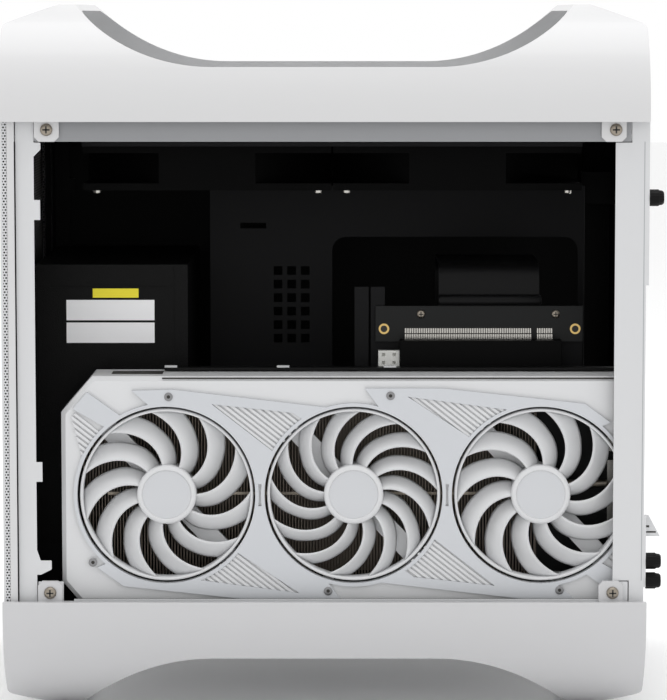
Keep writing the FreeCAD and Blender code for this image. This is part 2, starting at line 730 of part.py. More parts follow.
def rear_plate():
    """Rear of the frame: fan vent, board connectors, slots, inlet and card window, with folded posts."""
    place = on_yz(REAR_IN)
    y, z = rear_fan_centre()
    half = REAR_FAN_BOLTS / 2
    holes = vent_slots(y, z)
    holes += [ring_wire(y + a * half, z + b * half, REAR_FAN_HOLE_R, place) for a in SIDES for b in SIDES]
    io_z = slots_top() + IO_OVER
    io_y = TRAY_BACK + IO_IN
    holes.append(outline(oblong(io_y, io_y + IO_W, io_z, io_z + IO_H), place))
    holes += [outline(c, place) for c in slot_windows(0)]
    holes.append(outline(inlet_window(0), place))
    holes.append(outline(card_window(CARD_BRACKET_EDGE), place))
    web = sheet(outline(oblong(-SIDE_Y, SIDE_Y, FLOOR_LIFT, RAIL_TOP), place), holes, X * SHEET)
    inner = REAR_X - POST_REAR_W
    step = inner + POST_NOTCH_W
    low = EAR_TOP + FLANGE_GAP
    high = RAIL_Z - FLANGE_GAP
    post = [(step, FLOOR_LIFT), (REAR_X, FLOOR_LIFT), (REAR_X, RAIL_TOP), (step, RAIL_TOP),
            (step, high), (inner, high), (inner, low), (step, low)]
    hem = block(REAR_X, REAR_X + HEM_T, -SIDE_Y, -SIDE_Y + HEM_W, FLOOR_Z + HEM_UP, RAIL_TOP)
    return fused([web, hem] + [side_flange(post, sign) for sign in SIDES])


def motherboard_tray():
    """Sheet that divides the two bays, with the riser's window, vents and a folded foot."""
    place = on_xz(TRAY_Y)
    holes = [outline(oblong(TRAY_WINDOW_X, TRAY_WINDOW_X + TRAY_WINDOW_L,
                            TRAY_WINDOW_Z, TRAY_WINDOW_TOP, WINDOW_R), place)]
    slot_x = TRAY_FRONT + TRAY_SLOT_IN
    slot_z = TRAY_TOP - TRAY_SLOT_DOWN
    holes.append(outline(oblong(slot_x, slot_x + TRAY_SLOT_L, slot_z, slot_z + TRAY_SLOT_H), place))
    for col in range(VENT_COLS):
        for row in range(VENT_ROWS):
            u = TRAY_WINDOW_X - VENT_IN - col * VENT_PITCH
            v = TRAY_TOP - VENT_DOWN - row * VENT_PITCH
            holes.append(outline(oblong(u - VENT_R, u + VENT_R, v - VENT_R, v + VENT_R), place))
    web = sheet(outline(oblong(TRAY_FRONT, TRAY_REAR, FLOOR_Z, TRAY_TOP), place), holes, Y * SHEET)
    foot = block(TRAY_FRONT, TRAY_REAR, TRAY_Y, TRAY_Y + TRAY_FOOT, FLOOR_Z, FLOOR_Z + SHEET)
    return fused([web, foot])


def slot_covers():
    place = on_yz(REAR_IN - SHEET)
    return group([sheet(outline(c, place), [], X * SHEET) for c in slot_windows(COVER_OVER)])


def power_inlet():
    """Mains inlet: a body through the rear plate, its flange outside, pins in a recess."""
    body = sheet(outline(inlet_window(-PORT_CLEAR), on_yz(REAR_X - INLET_DEPTH)), [], X * INLET_DEPTH)
    flange = sheet(outline(inlet_window(INLET_FLANGE), on_yz(REAR_X)), [], X * PSU_WALL)
    floor = on_yz(REAR_X - INLET_DEPTH / 2)
    recess = sheet(outline(inlet_window(-INLET_FLANGE), floor), [], X * INLET_DEPTH)
    shape = body.fuse(flange).cut(recess)
    y = SIDE_Y - INLET_IN - INLET_W / 2
    z = RAIL_Z - INLET_DOWN + INLET_H / 2
    pins = []
    for side, rise in ((-1, -1), (0, 1), (1, -1)):
        u = y + side * INLET_PIN_OUT - INLET_PIN_W / 2
        v = z + rise * INLET_PIN_H / 2 - INLET_PIN_H / 2
        pins.append(block(REAR_X - INLET_DEPTH, REAR_X - SHEET, u, u + INLET_PIN_W, v, v + INLET_PIN_H))
    return fused([shape] + pins)


def thumb_seat(z):
    """Face that a thumb screw bears on: the clamp plate low down, the hem above."""
    return REAR_X + (CLAMP_T if z < FLOOR_Z + CLAMP_UP + CLAMP_H else HEM_T)


def thumb_screw(y, z):
    seat = thumb_seat(z)
    head = sheet(many_sided(THUMB_SIDES, THUMB_R, 0), [], Z * (SHELL_REAR + REAR_REACH - seat))
    head.rotate(V(0, 0, 0), Y, 90)
    head.translate(V(seat, y, z))
    return head


def thumb_screws():
    return group([thumb_screw(y, z) for y, z in thumb_places()])


def bracket_clamp():
    """Plate under the two lower thumb screws, with a tab bent out to the rear above them."""
    low = FLOOR_Z + CLAMP_UP
    high = low + CLAMP_H
    left = -SIDE_Y
    right = left + CLAMP_W
    plate = block(REAR_X, REAR_X + CLAMP_T, left, right, low, high)
    tab = sheet(
        outline([(REAR_X, high), (REAR_X, high - CLAMP_TAB_H), (REAR_X + CLAMP_TAB, high - CLAMP_TAB_H),
                 (REAR_X + CLAMP_TAB_TOP, high)], on_xz(right - CLAMP_T)), [], Y * CLAMP_T)
    return fused([plate, tab])


# Front, top and side covers

def cover_outline(shrink, x, radius=0):
    half = SIDE_Y + COVER_OVERHANG - shrink
    return outline(oblong(-half, half, FLOOR_Z + COVER_UP + shrink,
                          RAIL_TOP - COVER_DOWN - shrink, radius), on_yz(x))


def front_frame():
    """Moulded frame of the front cover, with pegs that clip to the steel plate."""
    frame = sheet(cover_outline(0, FRAME_FRONT), [cover_outline(FRAME_BORDER, FRAME_FRONT)], X * FRAME_T)
    y = SIDE_Y - POST_FRONT_W
    heights = (FLOOR_Z + FRAME_BORDER * 2, RAIL_Z - FRAME_BORDER)
    half = PEG_W / 2
    pegs = [block(FRAME_BACK, FRONT_X, s * y - half, s * y + half, z - half, z + half)
            for s in SIDES for z in heights]
    return fused([frame] + pegs)


def front_mesh():
    """Intake mesh: a sheet across the frame with its edge turned back."""
    front = FRAME_FRONT - MESH_RIM
    skin = sheet(cover_outline(0, front, COVER_R), [], X * MESH_RIM)
    return skin.cut(sheet(cover_outline(MESH_T, front + MESH_T), [], X * MESH_RIM))


def top_mesh():
    """Vent cover between the handles, lying on the two top rails."""
    half = TOP_MESH_L / 2
    plan = oblong(MID_X - half, MID_X + half, -SIDE_Y, SIDE_Y, COVER_R)
    cover = sheet(outline(plan, on_xy(RAIL_TOP)), [], Z * (TOP_MESH_RIM + MESH_T))
    inner = SIDE_Y - MESH_T
    return cover.cut(block(MID_X - half + MESH_T, MID_X + half - MESH_T, -inner, inner,
                           RAIL_TOP, RAIL_TOP + TOP_MESH_RIM))


def square(x, half):
    """Corners of a square about a point of the port row."""
    return oblong(x - half, x + half, IO_Z - half, IO_Z + half)


def io_holes(place):
    r = PORT_CLEAR
    holes = [outline(square(x, half + BUTTON_CLEAR), place)
             for x, half in ((POWER_X, POWER_HALF), (RESET_X, RESET_HALF))]
    for x in USB_XS:
        holes.append(outline(oblong(x - USB_W / 2 - r, x + USB_W / 2 + r,
                                    IO_Z - USB_H / 2 - r, IO_Z + USB_H / 2 + r), place))
    return holes


def io_post_places():
    x0 = POWER_X - IO_PITCH / 2
    x1 = USB_XS[1] + IO_PITCH / 2
    dz = IO_BOARD_H / 2 - IO_POST_R
    return [(x, IO_Z + s * dz) for x in (x0 + IO_POST_R, x1 - IO_POST_R) for s in SIDES]


def right_panel():
    """Right side panel: sheet with its edges turned in, and posts for the port board."""
    plan = oblong(FRONT_X, REAR_X, PANEL_LOW, PANEL_HIGH)
    skin = sheet(outline(plan, on_xz(PANEL_IN)), io_holes(on_xz(PANEL_IN)), Y * SHEET)
    ends = [block(x, x + SHEET, SIDE_Y, PANEL_IN, PANEL_LOW, PANEL_HIGH) for x in (FRONT_X, REAR_X - SHEET)]
    rims = [block(FRONT_X, REAR_X, PANEL_OUT - PANEL_RIM, PANEL_IN, z, z + SHEET)
            for z in (PANEL_LOW, PANEL_HIGH - SHEET)]
    board_top = IO_BOARD_Y + IO_BOARD_T
    r = IO_POST_R
    posts = [block(x - r, x + r, board_top, PANEL_IN, z - r, z + r) for x, z in io_post_places()]
    return fused([skin] + ends + rims + posts)


def io_board():
    x0 = POWER_X - IO_PITCH / 2
    x1 = USB_XS[1] + IO_PITCH / 2
    return block(x0, x1, IO_BOARD_Y, IO_BOARD_Y + IO_BOARD_T, IO_Z - IO_BOARD_H / 2, IO_Z + IO_BOARD_H / 2)


def switch_top():
    """Face of the switches that the buttons press, clear of them at full travel."""
    return IO_BOARD_Y + IO_BOARD_T + SWITCH_W / 4


def io_ports():
    """Ports and switches that stand on the port board."""
    base = IO_BOARD_Y + IO_BOARD_T
    solids = []
    wall = USB_WALL
    for x in USB_XS:
        can = block(x - USB_W / 2, x + USB_W / 2, base, PANEL_OUT, IO_Z - USB_H / 2, IO_Z + USB_H / 2)
        mouth = block(x - USB_W / 2 + wall, x + USB_W / 2 - wall, base + USB_H / 2, PANEL_OUT,
                      IO_Z - USB_H / 2 + wall, IO_Z + USB_H / 2 - wall)
        side = USB_W / 2 - USB_TONGUE
        tongue = block(x - side, x + side, base, PANEL_OUT - wall, IO_Z, IO_Z + USB_TONGUE)
        solids.append(can.cut(mouth).fuse(tongue))
    half = SWITCH_W / 2
    solids += [block(x - half, x + half, base, switch_top(), IO_Z - half, IO_Z + half)
               for x in (POWER_X, RESET_X)]
    return group(solids)


def button(x, half):
    """Push button: a cap through the panel, a flange behind it and a stem to the switch."""
    flange_top = PANEL_IN - BUTTON_CLEAR
    cap = sheet(outline(square(x, half), on_xz(flange_top)), [], Y * (PANEL_OUT + BUTTON_PROUD - flange_top))
    outer = [e for e in cap.Edges if e.CenterOfMass.y > PANEL_OUT + BUTTON_PROUD / 2]
    cap = cap.makeChamfer(BUTTON_PROUD / 2, outer)
    flange_place = on_xz(flange_top - BUTTON_FLANGE)
    flange = sheet(outline(square(x, half + BUTTON_FLANGE), flange_place), [], Y * BUTTON_FLANGE)
    stem_end = switch_top() + BUTTON_TRAVEL + BUTTON_CLEAR
    stem = sheet(outline(square(x, BUTTON_STEM), on_xz(stem_end)), [], Y * (flange_top - stem_end))
    return fused([cap, flange, stem])


def power_button():
    return button(POWER_X, POWER_HALF)


def reset_button():
    return button(RESET_X, RESET_HALF)


# Fans

def faceted_solid(sections):
    """Solid through matching strips of points, upper edge out and lower edge back, in flat triangles."""
    count = len(sections[0])
    faces = []

    def triangle(a, b, c):
        faces.append(Part.Face(Part.makePolygon([a, b, c, a])))

    for low, high in zip(sections, sections[1:]):
        for i in range(count):
            j = (i + 1) % count
            triangle(low[i], low[j], high[j])
            triangle(low[i], high[j], high[i])
    for cap in (sections[0], sections[-1]):
        for i in range(count // 2 - 1):
            below = count - 2 - i
            triangle(cap[i], cap[i + 1], cap[below])
            triangle(cap[i], cap[below], cap[below + 1])
    solid = Part.Solid(Part.Shell(faces))
    if solid.Volume < 0:
        solid.reverse()
    return solid


def blade(inner, outer, height, thick, chord, sweep, steps):
    """Swept, twisted blade on the Z axis: its leading edge is high and its trailing edge low."""
    sections = []
    height = height - 2 * BLADE_LIFT
    crown = height * BLADE_CROWN
    for k in range(steps + 1):
        share = k / steps
        radius = inner + (outer - inner) * share
        lead = math.radians(sweep * share ** SWEEP_POWER)
        trail = lead - math.radians(chord)

        def at(angle, z):
            return V(radius * math.cos(angle), radius * math.sin(angle), BLADE_LIFT + z)

        middle = (lead + trail) / 2
        sections.append([at(lead, height), at(middle, crown), at(trail, thick),
                         at(trail, 0), at(middle, crown - thick), at(lead, height - thick)])
    return faceted_solid(sections)


def blades(count, inner, outer, height, thick, sweep, gap, steps):
    """Ring of blades, leaving gap degrees open between neighbours."""
    first = blade(inner, outer, height, thick, 360 / count - gap, sweep, steps)
    ring = []
    for k in range(count):
        copy = first.copy()
        copy.rotate(V(0, 0, 0), Z, 360 * k / count)
        ring.append(copy)
    return ring


def hub(sides, radius, height):
    """Hub on the Z axis, bored from below for the shaft."""
    body = sheet(many_sided(sides, radius, 0), [], Z * height)
    return body.cut(rod(SHAFT_R + SHAFT_FIT, V(0, 0, 0), Z, height - HUB_WALL))


def motor_seat(radius, thick, shaft):
    """Motor seat on the Z axis with the fan's shaft standing on it."""
    seat = sheet(many_sided(SEAT_SIDES, radius, -thick), [], Z * thick)
    return seat.fuse(rod(SHAFT_R, V(0, 0, 0), Z, shaft))


def face_left(shape, x, y, z):
    """Turn a fan part drawn on the Z axis to face the open side, its low end at y."""
    shape = shape.copy()
    shape.rotate(V(0, 0, 0), X, 90)
    shape.translate(V(x, y, z))
    return shape


def top_fan_rotor(x):
    height = TOP_FAN_T - TOP_FAN_FLANGE - 2 * END_PLAY
    tip = TOP_FAN_R - TOP_TIP_GAP
    vanes = blades(TOP_BLADES, TOP_HUB_R - HUB_WALL, tip, height, HUB_WALL,
                   TOP_SWEEP, TOP_BLADE_GAP, PLAIN_STEPS)
    rotor = fused([hub(2 * TOP_BLADES, TOP_HUB_R, height)] + vanes)
    rotor.rotate(V(0, 0, 0), X, 180)
    rotor.translate(V(x, 0, TOP_FAN_Z + TOP_FAN_T - TOP_FAN_FLANGE - END_PLAY))
    return rotor


def corner_relief(a, b):
    """Space between the two flanges at one corner of a fan frame, drawn round the Z axis."""
    near = TOP_FAN_R + TOP_FAN_RING
    half = TOP_FAN / 2
    slant = math.sqrt(2) * near - half
    corners = [(a * half, b * slant), (a * half, b * half), (a * slant, b * half)]
    return sheet(outline(corners, on_xy(TOP_FAN_FLANGE)), [], Z * (TOP_FAN_T - 2 * TOP_FAN_FLANGE))


def top_fan_frame(x):
    """Square fan frame with a round duct, open corners and a motor seat on four struts."""
    half = TOP_FAN / 2
    duct = many_sided(TOP_DUCT_SIDES, TOP_FAN_R, 0)
    body = sheet(outline(oblong(-half, half, -half, half), on_xy(0)), [duct], Z * TOP_FAN_T)
    body = body.cut(group([corner_relief(a, b) for a in SIDES for b in SIDES]))
    struts = []
    for k in range(TOP_STRUTS):
        bar = block(0, TOP_FAN_R + TOP_FAN_RING / 2, -TOP_STRUT / 2, TOP_STRUT / 2, -TOP_FAN_FLANGE, 0)
        bar.rotate(V(0, 0, 0), Z, TOP_STRUT_TURN + k * 360 / TOP_STRUTS)
        bar.translate(Z * TOP_FAN_T)
        struts.append(bar)
    seat = motor_seat(TOP_HUB_R, TOP_FAN_FLANGE, TOP_FAN_T / 2)
    seat.rotate(V(0, 0, 0), X, 180)
    seat.translate(Z * (TOP_FAN_T - TOP_FAN_FLANGE))
    frame = fused([body, seat] + struts)
    frame.translate(V(x, 0, TOP_FAN_Z))
    return frame


def top_fan_bracket():
    """Sheet that carries both top fans, folded up to the top plate along both sides."""
    low = RAIL_Z - TOP_FAN_DROP
    place = on_xy(low)
    half = TOP_FAN / 2
    wide = half + BRACKET_SIDE
    open_half = half - BRACKET_LAND
    holes = [outline(oblong(x - open_half, x + open_half, -open_half, open_half), place) for x in TOP_FAN_XS]
    x0 = TOP_FAN_XS[0] - half
    x1 = TOP_FAN_XS[1] + half
    web = sheet(outline(oblong(x0, x1, -wide, wide), place), holes, Z * SHEET)
    rims = [block(x0, x1, y, y + SHEET, low, RAIL_Z) for y in (-wide, wide - SHEET)]
    return fused([web] + rims)


# Power supply

def psu_case():
    """Steel box with a fan opening and a strip for its motor, a seam and a groove on its left side."""
    x1 = PSU_X + PSU_L
    y1 = PSU_Y + PSU_W
    w = PSU_WALL
    box = block(PSU_X, x1, PSU_Y, y1, PSU_Z, PSU_TOP)
    room = block(PSU_X + w, x1 - w, PSU_Y + w, y1 - w, PSU_Z + w, PSU_TOP - w)
    back = psu_back()
    strip = block(back, back + w, PSU_FAN_Y - PSU_HUB_R, PSU_FAN_Y + PSU_HUB_R,
                  PSU_Z + w / 2, PSU_TOP - w / 2)
    mouth = sheet(many_sided(PSU_MOUTH_SIDES, PSU_FAN_R, 0), [], Z * w)
    mouth.rotate(V(0, 0, 0), Y, 90)
    mouth.translate(V(PSU_X, PSU_FAN_Y, PSU_FAN_Z))
    seam_x = x1 - PSU_SEAM_IN
    seam = block(seam_x, seam_x + PSU_SEAM, PSU_Y, PSU_Y + PSU_SEAM / 2, PSU_Z, PSU_TOP)
    groove_z = PSU_TOP - PSU_GROOVE_DOWN
    groove = block(PSU_X + PSU_SEAM_IN, seam_x, PSU_Y, PSU_Y + PSU_SEAM / 2, groove_z - PSU_SEAM, groove_z)
    motor = motor_seat(PSU_HUB_R, PSU_MOTOR_T, PSU_FAN_T / 2)
    motor.rotate(V(0, 0, 0), Y, -90)
    motor.translate(V(back - PSU_MOTOR_T, PSU_FAN_Y, PSU_FAN_Z))
    return fused([box.cut(group([room, mouth, seam, groove])), strip, motor])


def psu_back():
    """Front face of the strip that carries the supply's fan motor."""
    return PSU_X + PSU_WALL + PSU_FAN_T + PSU_MOTOR_T + END_PLAY


def psu_fan_rotor():
    height = PSU_FAN_T - END_PLAY
    vanes = blades(PSU_BLADES, PSU_HUB_R - HUB_WALL, PSU_FAN_R - TOP_TIP_GAP, height, HUB_WALL,
                   TOP_SWEEP, TOP_BLADE_GAP, PLAIN_STEPS)
    rotor = fused([hub(2 * PSU_BLADES, PSU_HUB_R, height)] + vanes)
    rotor.rotate(V(0, 0, 0), Y, -90)
    rotor.translate(V(psu_back() - PSU_MOTOR_T - END_PLAY, PSU_FAN_Y, PSU_FAN_Z))
    return rotor


def psu_grille():
    """Guard over the supply's fan: crossed bars on a rim, in front of the opening."""
    outer = PSU_FAN_R + 2 * PSU_GRILLE_BAR
    inner = PSU_FAN_R + PSU_GRILLE_BAR
    hole = many_sided(PSU_MOUTH_SIDES, inner, 0)
    rim = sheet(many_sided(PSU_MOUTH_SIDES, outer, 0), [hole], Z * PSU_GRILLE_T)
    reach = (outer + inner) / 2
    half = PSU_GRILLE_BAR / 2
    level = block(-reach, reach, -half, half, 0, PSU_GRILLE_T)
    upright = block(-half, half, -reach, reach, 0, PSU_GRILLE_T)
    guard = fused([rim, level, upright])
    guard.rotate(V(0, 0, 0), Y, 90)
    guard.translate(V(PSU_X - PSU_GRILLE_T, PSU_FAN_Y, PSU_FAN_Z))
    return guard


def psu_white_labels():
    x = PSU_X + LABEL_FRONT_IN
    labels = []
    for k in range(2):
        z = PSU_TOP - LABEL_DOWN - k * LABEL_PITCH
        labels.append(block(x, x + LABEL_L, PSU_Y - LABEL_T, PSU_Y, z - LABEL_H, z))
    return group(labels)


def psu_yellow_label():
    x = PSU_X + LABEL_FRONT_IN + TAG_IN
    z = PSU_TOP - LABEL_DOWN + LABEL_PITCH - LABEL_H
    return block(x, x + TAG_L, PSU_Y - LABEL_T, PSU_Y, z, z + TAG_H)


def psu_stand():
    """Sheet shelf under the power supply, on two folded legs."""
    x1 = PSU_X + PSU_L
    y1 = PSU_Y + PSU_W
    shelf = block(PSU_X, x1, PSU_Y, y1, PSU_Z - SHEET, PSU_Z)
    parts = [shelf]
    for y in (PSU_Y, y1 - SHEET):
        parts.append(block(PSU_X, x1, y, y + SHEET, FLOOR_Z, PSU_Z))
        foot = y if y == PSU_Y else y1 - STAND_LEG
        parts.append(block(PSU_X, x1, foot, foot + STAND_LEG, FLOOR_Z, FLOOR_Z + SHEET))
    return fused(parts)


# Graphics card

def shroud_outline(shrink, y):
    """Outline of the card's shroud, its front corners cut off."""
    low = CARD_Z + shrink
    high = CARD_TOP - shrink
    front = CARD_FRONT + shrink
    rear = SHROUD_REAR
    nose = CARD_NOSE_L
    return outline([(front + nose, low), (rear, low), (rear, high), (front + nose, high),
                    (front, high - CARD_NOSE_H), (front, low + CARD_NOSE_H)], on_xz(y))


# Raised plates and ribbed fields of the upper half of the face, measured from the middle fan's
# centre. The lower half is the same turned half round.
FIELDS = (
    ((-78.5, 50.8), (-33.6, 46.0), (-27.4, 41.6), (-44.1, 24.0)),
    ((30.0, 55.0), (85.4, 47.7), (65.1, 31.8)),
    ((-156.5, 43.8), (-153.7, 46.0), (-139.8, 34.4), (-150.4, 20.0)),
)
PLATES = (
    ((-122.9, 58.4), (-99.5, 58.9), (-12.8, 48.8), (-50.5, 6.1), (-58.3, 6.1), (-111.0, 47.9)),
    ((6.3, 59.6), (49.9, 59.6), (128.0, 51.1), (142.6, 40.5), (52.7, 6.1), (46.0, 6.1)),
    ((-156.6, 48.8), (-148.1, 57.9), (-127.0, 42.7), (-135.3, 36.6)),
)
FIELD_ANGLE = -38.0     # ribs run down to the rear


def shroud_screws():
    return [(MID_FAN + u * FACE_SCALE, FAN_Z + w) for u, w in SHROUD_SCREWS]


def on_face(corners, turned, y):
    """Place a plate or field on the shroud, turned half round for the lower half."""
    sign = -1 if turned else 1
    return outline([(MID_FAN + sign * u * FACE_SCALE, FAN_Z + sign * w) for u, w in corners], on_xz(y))


def field_ribs(corners, turned):
    """Slanting ribs cut to the outline of one field."""
    prism = sheet(on_face(corners, turned, SHROUD_FACE - RIB_H), [], Y * RIB_H)
    box = prism.BoundBox
    centre = V((box.XMin + box.XMax) / 2, box.YMin, (box.ZMin + box.ZMax) / 2)
    reach = box.DiagonalLength
    count = int(reach / 2 / RIB_PITCH)
    bars = []
    for k in range(-count, count + 1):
        bar = Part.makeBox(reach, RIB_H, RIB_W, V(-reach / 2, 0, k * RIB_PITCH))
        bar.rotate(V(0, 0, 0), Y, -FIELD_ANGLE)
        bar.translate(centre)
        bars.append(bar)
    return [s for s in group(bars).common(prism).Solids]


def shroud_plates():
    """Raised plates, open over the ribbed fields, joined by a raised lip round each fan."""
    lips = [rod(FAN_R + FAN_LIP, V(x, CARD_FACE, FAN_Z), Y, SHROUD_PLATE) for x in FAN_XS]
    body = sheet(shroud_outline(SHROUD_BEVEL, CARD_FACE), [], Y * SHROUD_PLATE)
    plates = []
    for turned in (False, True):
        for plate, field in zip(PLATES, FIELDS):
            raised = sheet(on_face(plate, turned, CARD_FACE), [], Y * SHROUD_PLATE)
            hollow = sheet(on_face(field, turned, CARD_FACE), [], Y * SHROUD_PLATE)
            plates.append(raised.cut(hollow))
    return plates[0].multiFuse(plates[1:]).common(body).multiFuse(lips)


def gpu_shroud():
    """Moulded shroud, open at the rear: skin with three openings, walls, raised plates, ribs and posts."""
    skin = sheet(shroud_outline(0, SHROUD_FACE), [], Y * SHROUD_SKIN)
    front = [e for e in skin.Edges if abs(e.CenterOfMass.y - SHROUD_FACE) < TINY]
    skin = skin.makeChamfer(SHROUD_BEVEL, front)
    wall_y = SHROUD_FACE + SHROUD_BEVEL
    wall = sheet(shroud_outline(0, wall_y), [], Y * SHROUD_DEPTH)
    wall = wall.cut(sheet(shroud_outline(SHROUD_WALL, wall_y), [], Y * SHROUD_DEPTH))
    bores = [rod(FAN_R, V(x, CARD_FACE, FAN_Z), Y, DUCT_BACK - CARD_FACE) for x in FAN_XS]
    posts = []
    for x, z in shroud_screws():
        posts.append(block(x - BOSS_R, x + BOSS_R, SHROUD_FACE, BOARD_FACE, z - BOSS_R, z + BOSS_R))
    seats = [carrier_seat(x, k) for x in FAN_XS for k in range(CARRIER_ARMS)]
    ribs = [rib for turned in (False, True) for field in FIELDS for rib in field_ribs(field, turned)]
    solid = skin.multiFuse([wall, shroud_plates()] + posts + ribs)
    return solid.cut(group(bores)).multiFuse(seats).removeSplitter()


def arm_angle(k):
    return CARRIER_TURN + k * 360 / CARRIER_ARMS


def carrier_seat(x, k):
    """Post behind the shroud's skin that one arm of a fan carrier lies on."""
    half = CARRIER_ARM_W / 2
    post = block(FAN_R, FAN_R + CARRIER_FOOT, -half, half, 0, DUCT_BACK - SHROUD_FACE - SHROUD_SKIN / 2)
    post.rotate(V(0, 0, 0), Z, arm_angle(k))
    return face_left(post, x, DUCT_BACK, FAN_Z)


def gpu_fan_rotor(index):
    """Ringed rotor: hub, swept blades and an outer ring of flat faces."""
    count = FAN_BLADES[index]
    outer = FAN_R - ROTOR_GAP
    inner = outer - ROTOR_RING
    sides = RING_SIDES * count
    ring = sheet(many_sided(sides, outer, 0), [many_sided(sides, inner, 0)], Z * ROTOR_T)
    vanes = blades(count, HUB_R - HUB_WALL, inner + ROTOR_RING / 2, ROTOR_T, BLADE_T,
                   FAN_SWEEP, FAN_BLADE_GAP, FAN_BLADE_STEPS)
    rotor = fused([hub(2 * count, HUB_R, ROTOR_T), ring] + vanes)
    if FAN_MIRRORED[index]:
        rotor = mirror_y(rotor)
    return face_left(rotor, FAN_XS[index], ROTOR_BACK, FAN_Z)


def gpu_fan_carrier(index):
    """Motor seat behind a rotor, on arms that lie against posts of the shroud."""
    gap = DUCT_BACK - ROTOR_BACK
    seat = motor_seat(HUB_R, CARRIER_T, gap + ROTOR_T - 2 * HUB_WALL)
    half = CARRIER_ARM_W / 2
    arms = []
    for k in range(CARRIER_ARMS):
        arm = block(0, FAN_R + CARRIER_FOOT, -half, half, -CARRIER_T, 0)
        arm.rotate(V(0, 0, 0), Z, arm_angle(k))
        arms.append(arm)
    return face_left(fused([seat] + arms), FAN_XS[index], DUCT_BACK, FAN_Z)


def gpu_heatsink():
    """Comb of upright fins on a base that lies on the card's board."""
    corners = [(FIN_X, BOARD_FACE)]
    for k in range(FIN_COUNT):
        x = FIN_X + k * FIN_PITCH
        corners += [(x, FIN_FRONT), (x + FIN_T, FIN_FRONT), (x + FIN_T, BASE_FACE)]
        if k < FIN_COUNT - 1:
            corners.append((x + FIN_PITCH, BASE_FACE))
    corners = corners[:-1] + [(fin_end(), BOARD_FACE)]
    return sheet(outline(corners, on_xy(FAN_Z - FIN_H / 2)), [], Z * FIN_H)


def fin_end():
    """Rear face of the last fin."""
    return FIN_X + (FIN_COUNT - 1) * FIN_PITCH + FIN_T


def gpu_pcb():
    """Card's board with its contact tongue at the top."""
    front = CARD_FRONT + BOARD_INSET
    low = CARD_Z + BOARD_INSET
    rear = REAR_IN - CARD_BRACKET_T
    tongue_top = SLOT_Z + SLOT_DEPTH - PORT_CLEAR
    corners = [(front + CARD_NOSE_L, low), (rear, low), (rear, BOARD_TOP),
               (TONGUE_X + TONGUE_L, BOARD_TOP), (TONGUE_X + TONGUE_L, tongue_top),
               (TONGUE_X, tongue_top), (TONGUE_X, BOARD_TOP), (front + CARD_NOSE_L, BOARD_TOP),
               (front, BOARD_TOP - CARD_NOSE_H), (front, low + CARD_NOSE_H)]
    return sheet(outline(corners, on_xz(BOARD_FACE)), [], Y * BOARD_T)


def gpu_backplate():
    front = CARD_FRONT + BOARD_INSET
    low = CARD_Z + BOARD_INSET
    rear = REAR_IN - CARD_BRACKET_T
    corners = [(front + CARD_NOSE_L, low), (rear, low), (rear, BOARD_TOP), (front + CARD_NOSE_L, BOARD_TOP),
               (front, BOARD_TOP - CARD_NOSE_H), (front, low + CARD_NOSE_H)]
    plate = sheet(outline(corners, on_xz(CARD_BACK - BACKPLATE_T)), [], Y * BACKPLATE_T)
    posts = []
    for x, z in shroud_screws():
        posts.append(block(x - BOSS_R, x + BOSS_R, BOARD_BACK, CARD_BACK, z - BOSS_R, z + BOSS_R))
    return fused([plate] + posts)


def gpu_top_bar():
    """Bar along the card's top edge with small clips standing on it."""
    low = CARD_TOP + TOP_BAR_GAP
    y0 = SHROUD_FACE + SHROUD_BEVEL + TOP_BAR_IN
    front = MID_FAN + TOP_CLIPS[0]
    bar = block(front, SHROUD_REAR, y0, y0 + TOP_BAR_Y, low, low + TOP_BAR_H)
    feet = [block(MID_FAN + u, MID_FAN + u + TOP_CLIP_L, y0 + TOP_BAR_Y / 2, y0 + TOP_BAR_Y, CARD_TOP, low)
            for u in TOP_CLIPS]
    clips = [block(MID_FAN + u, MID_FAN + u + TOP_CLIP_L, y0 + TOP_CLIP_H, y0 + TOP_BAR_Y / 2,
                   low + TOP_BAR_H, low + TOP_BAR_H + TOP_CLIP_H) for u in TOP_CLIPS]
    return fused([bar] + feet + clips)


def port_places():
    y = BOARD_FACE - PORT_H
    z0 = CARD_Z + CARD_BRACKET_UP + CARD_BRACKET_H / 2 - (PORT_COUNT - 1) * PORT_PITCH / 2
    return [(y, z0 + k * PORT_PITCH) for k in range(PORT_COUNT)]


def gpu_bracket():
    """Bracket behind the rear plate's window, open round the video ports."""
    place = on_yz(REAR_IN - CARD_BRACKET_T)
    r = PORT_CLEAR
    holes = [outline(oblong(y - r, y + PORT_H + r, z - PORT_W / 2 - r, z + PORT_W / 2 + r), place)
             for y, z in port_places()]
    return sheet(outline(card_window(0), place), holes, X * CARD_BRACKET_T)


def gpu_ports():
    ports = []
    wall = PORT_WALL
    for y, z in port_places():
        can = block(REAR_IN - PORT_DEPTH, REAR_IN, y, y + PORT_H, z - PORT_W / 2, z + PORT_W / 2)
        mouth = block(REAR_IN - PORT_DEPTH / 2, REAR_IN, y + wall, y + PORT_H - wall,
                      z - PORT_W / 2 + wall, z + PORT_W / 2 - wall)
        ports.append(can.cut(mouth))
    return group(ports)


def gpu_header():
    """Small socket that stands on the top edge of the card's board."""
    x = RISER_FRONT + HEADER_IN
    low = BOARD_TOP + HEADER_STEM
    y0 = BOARD_FACE - HEADER_T / 2
    body = block(x, x + HEADER_L, y0, y0 + HEADER_T, low, low + HEADER_H)
    half = HEADER_HOLE / 2
    cuts = []
    for a in SIDES:
        for b in SIDES:
            u = x + HEADER_L / 2 + a * HEADER_L / 4
            v = low + HEADER_H / 2 + b * HEADER_H / 4
            cuts.append(block(u - half, u + half, y0, y0 + HEADER_T / 2, v - half, v + half))
    stem = block(x + HEADER_STEM, x + 2 * HEADER_STEM, BOARD_FACE, BOARD_BACK, BOARD_TOP, low)
    return fused([body.cut(group(cuts)), stem])


# Riser

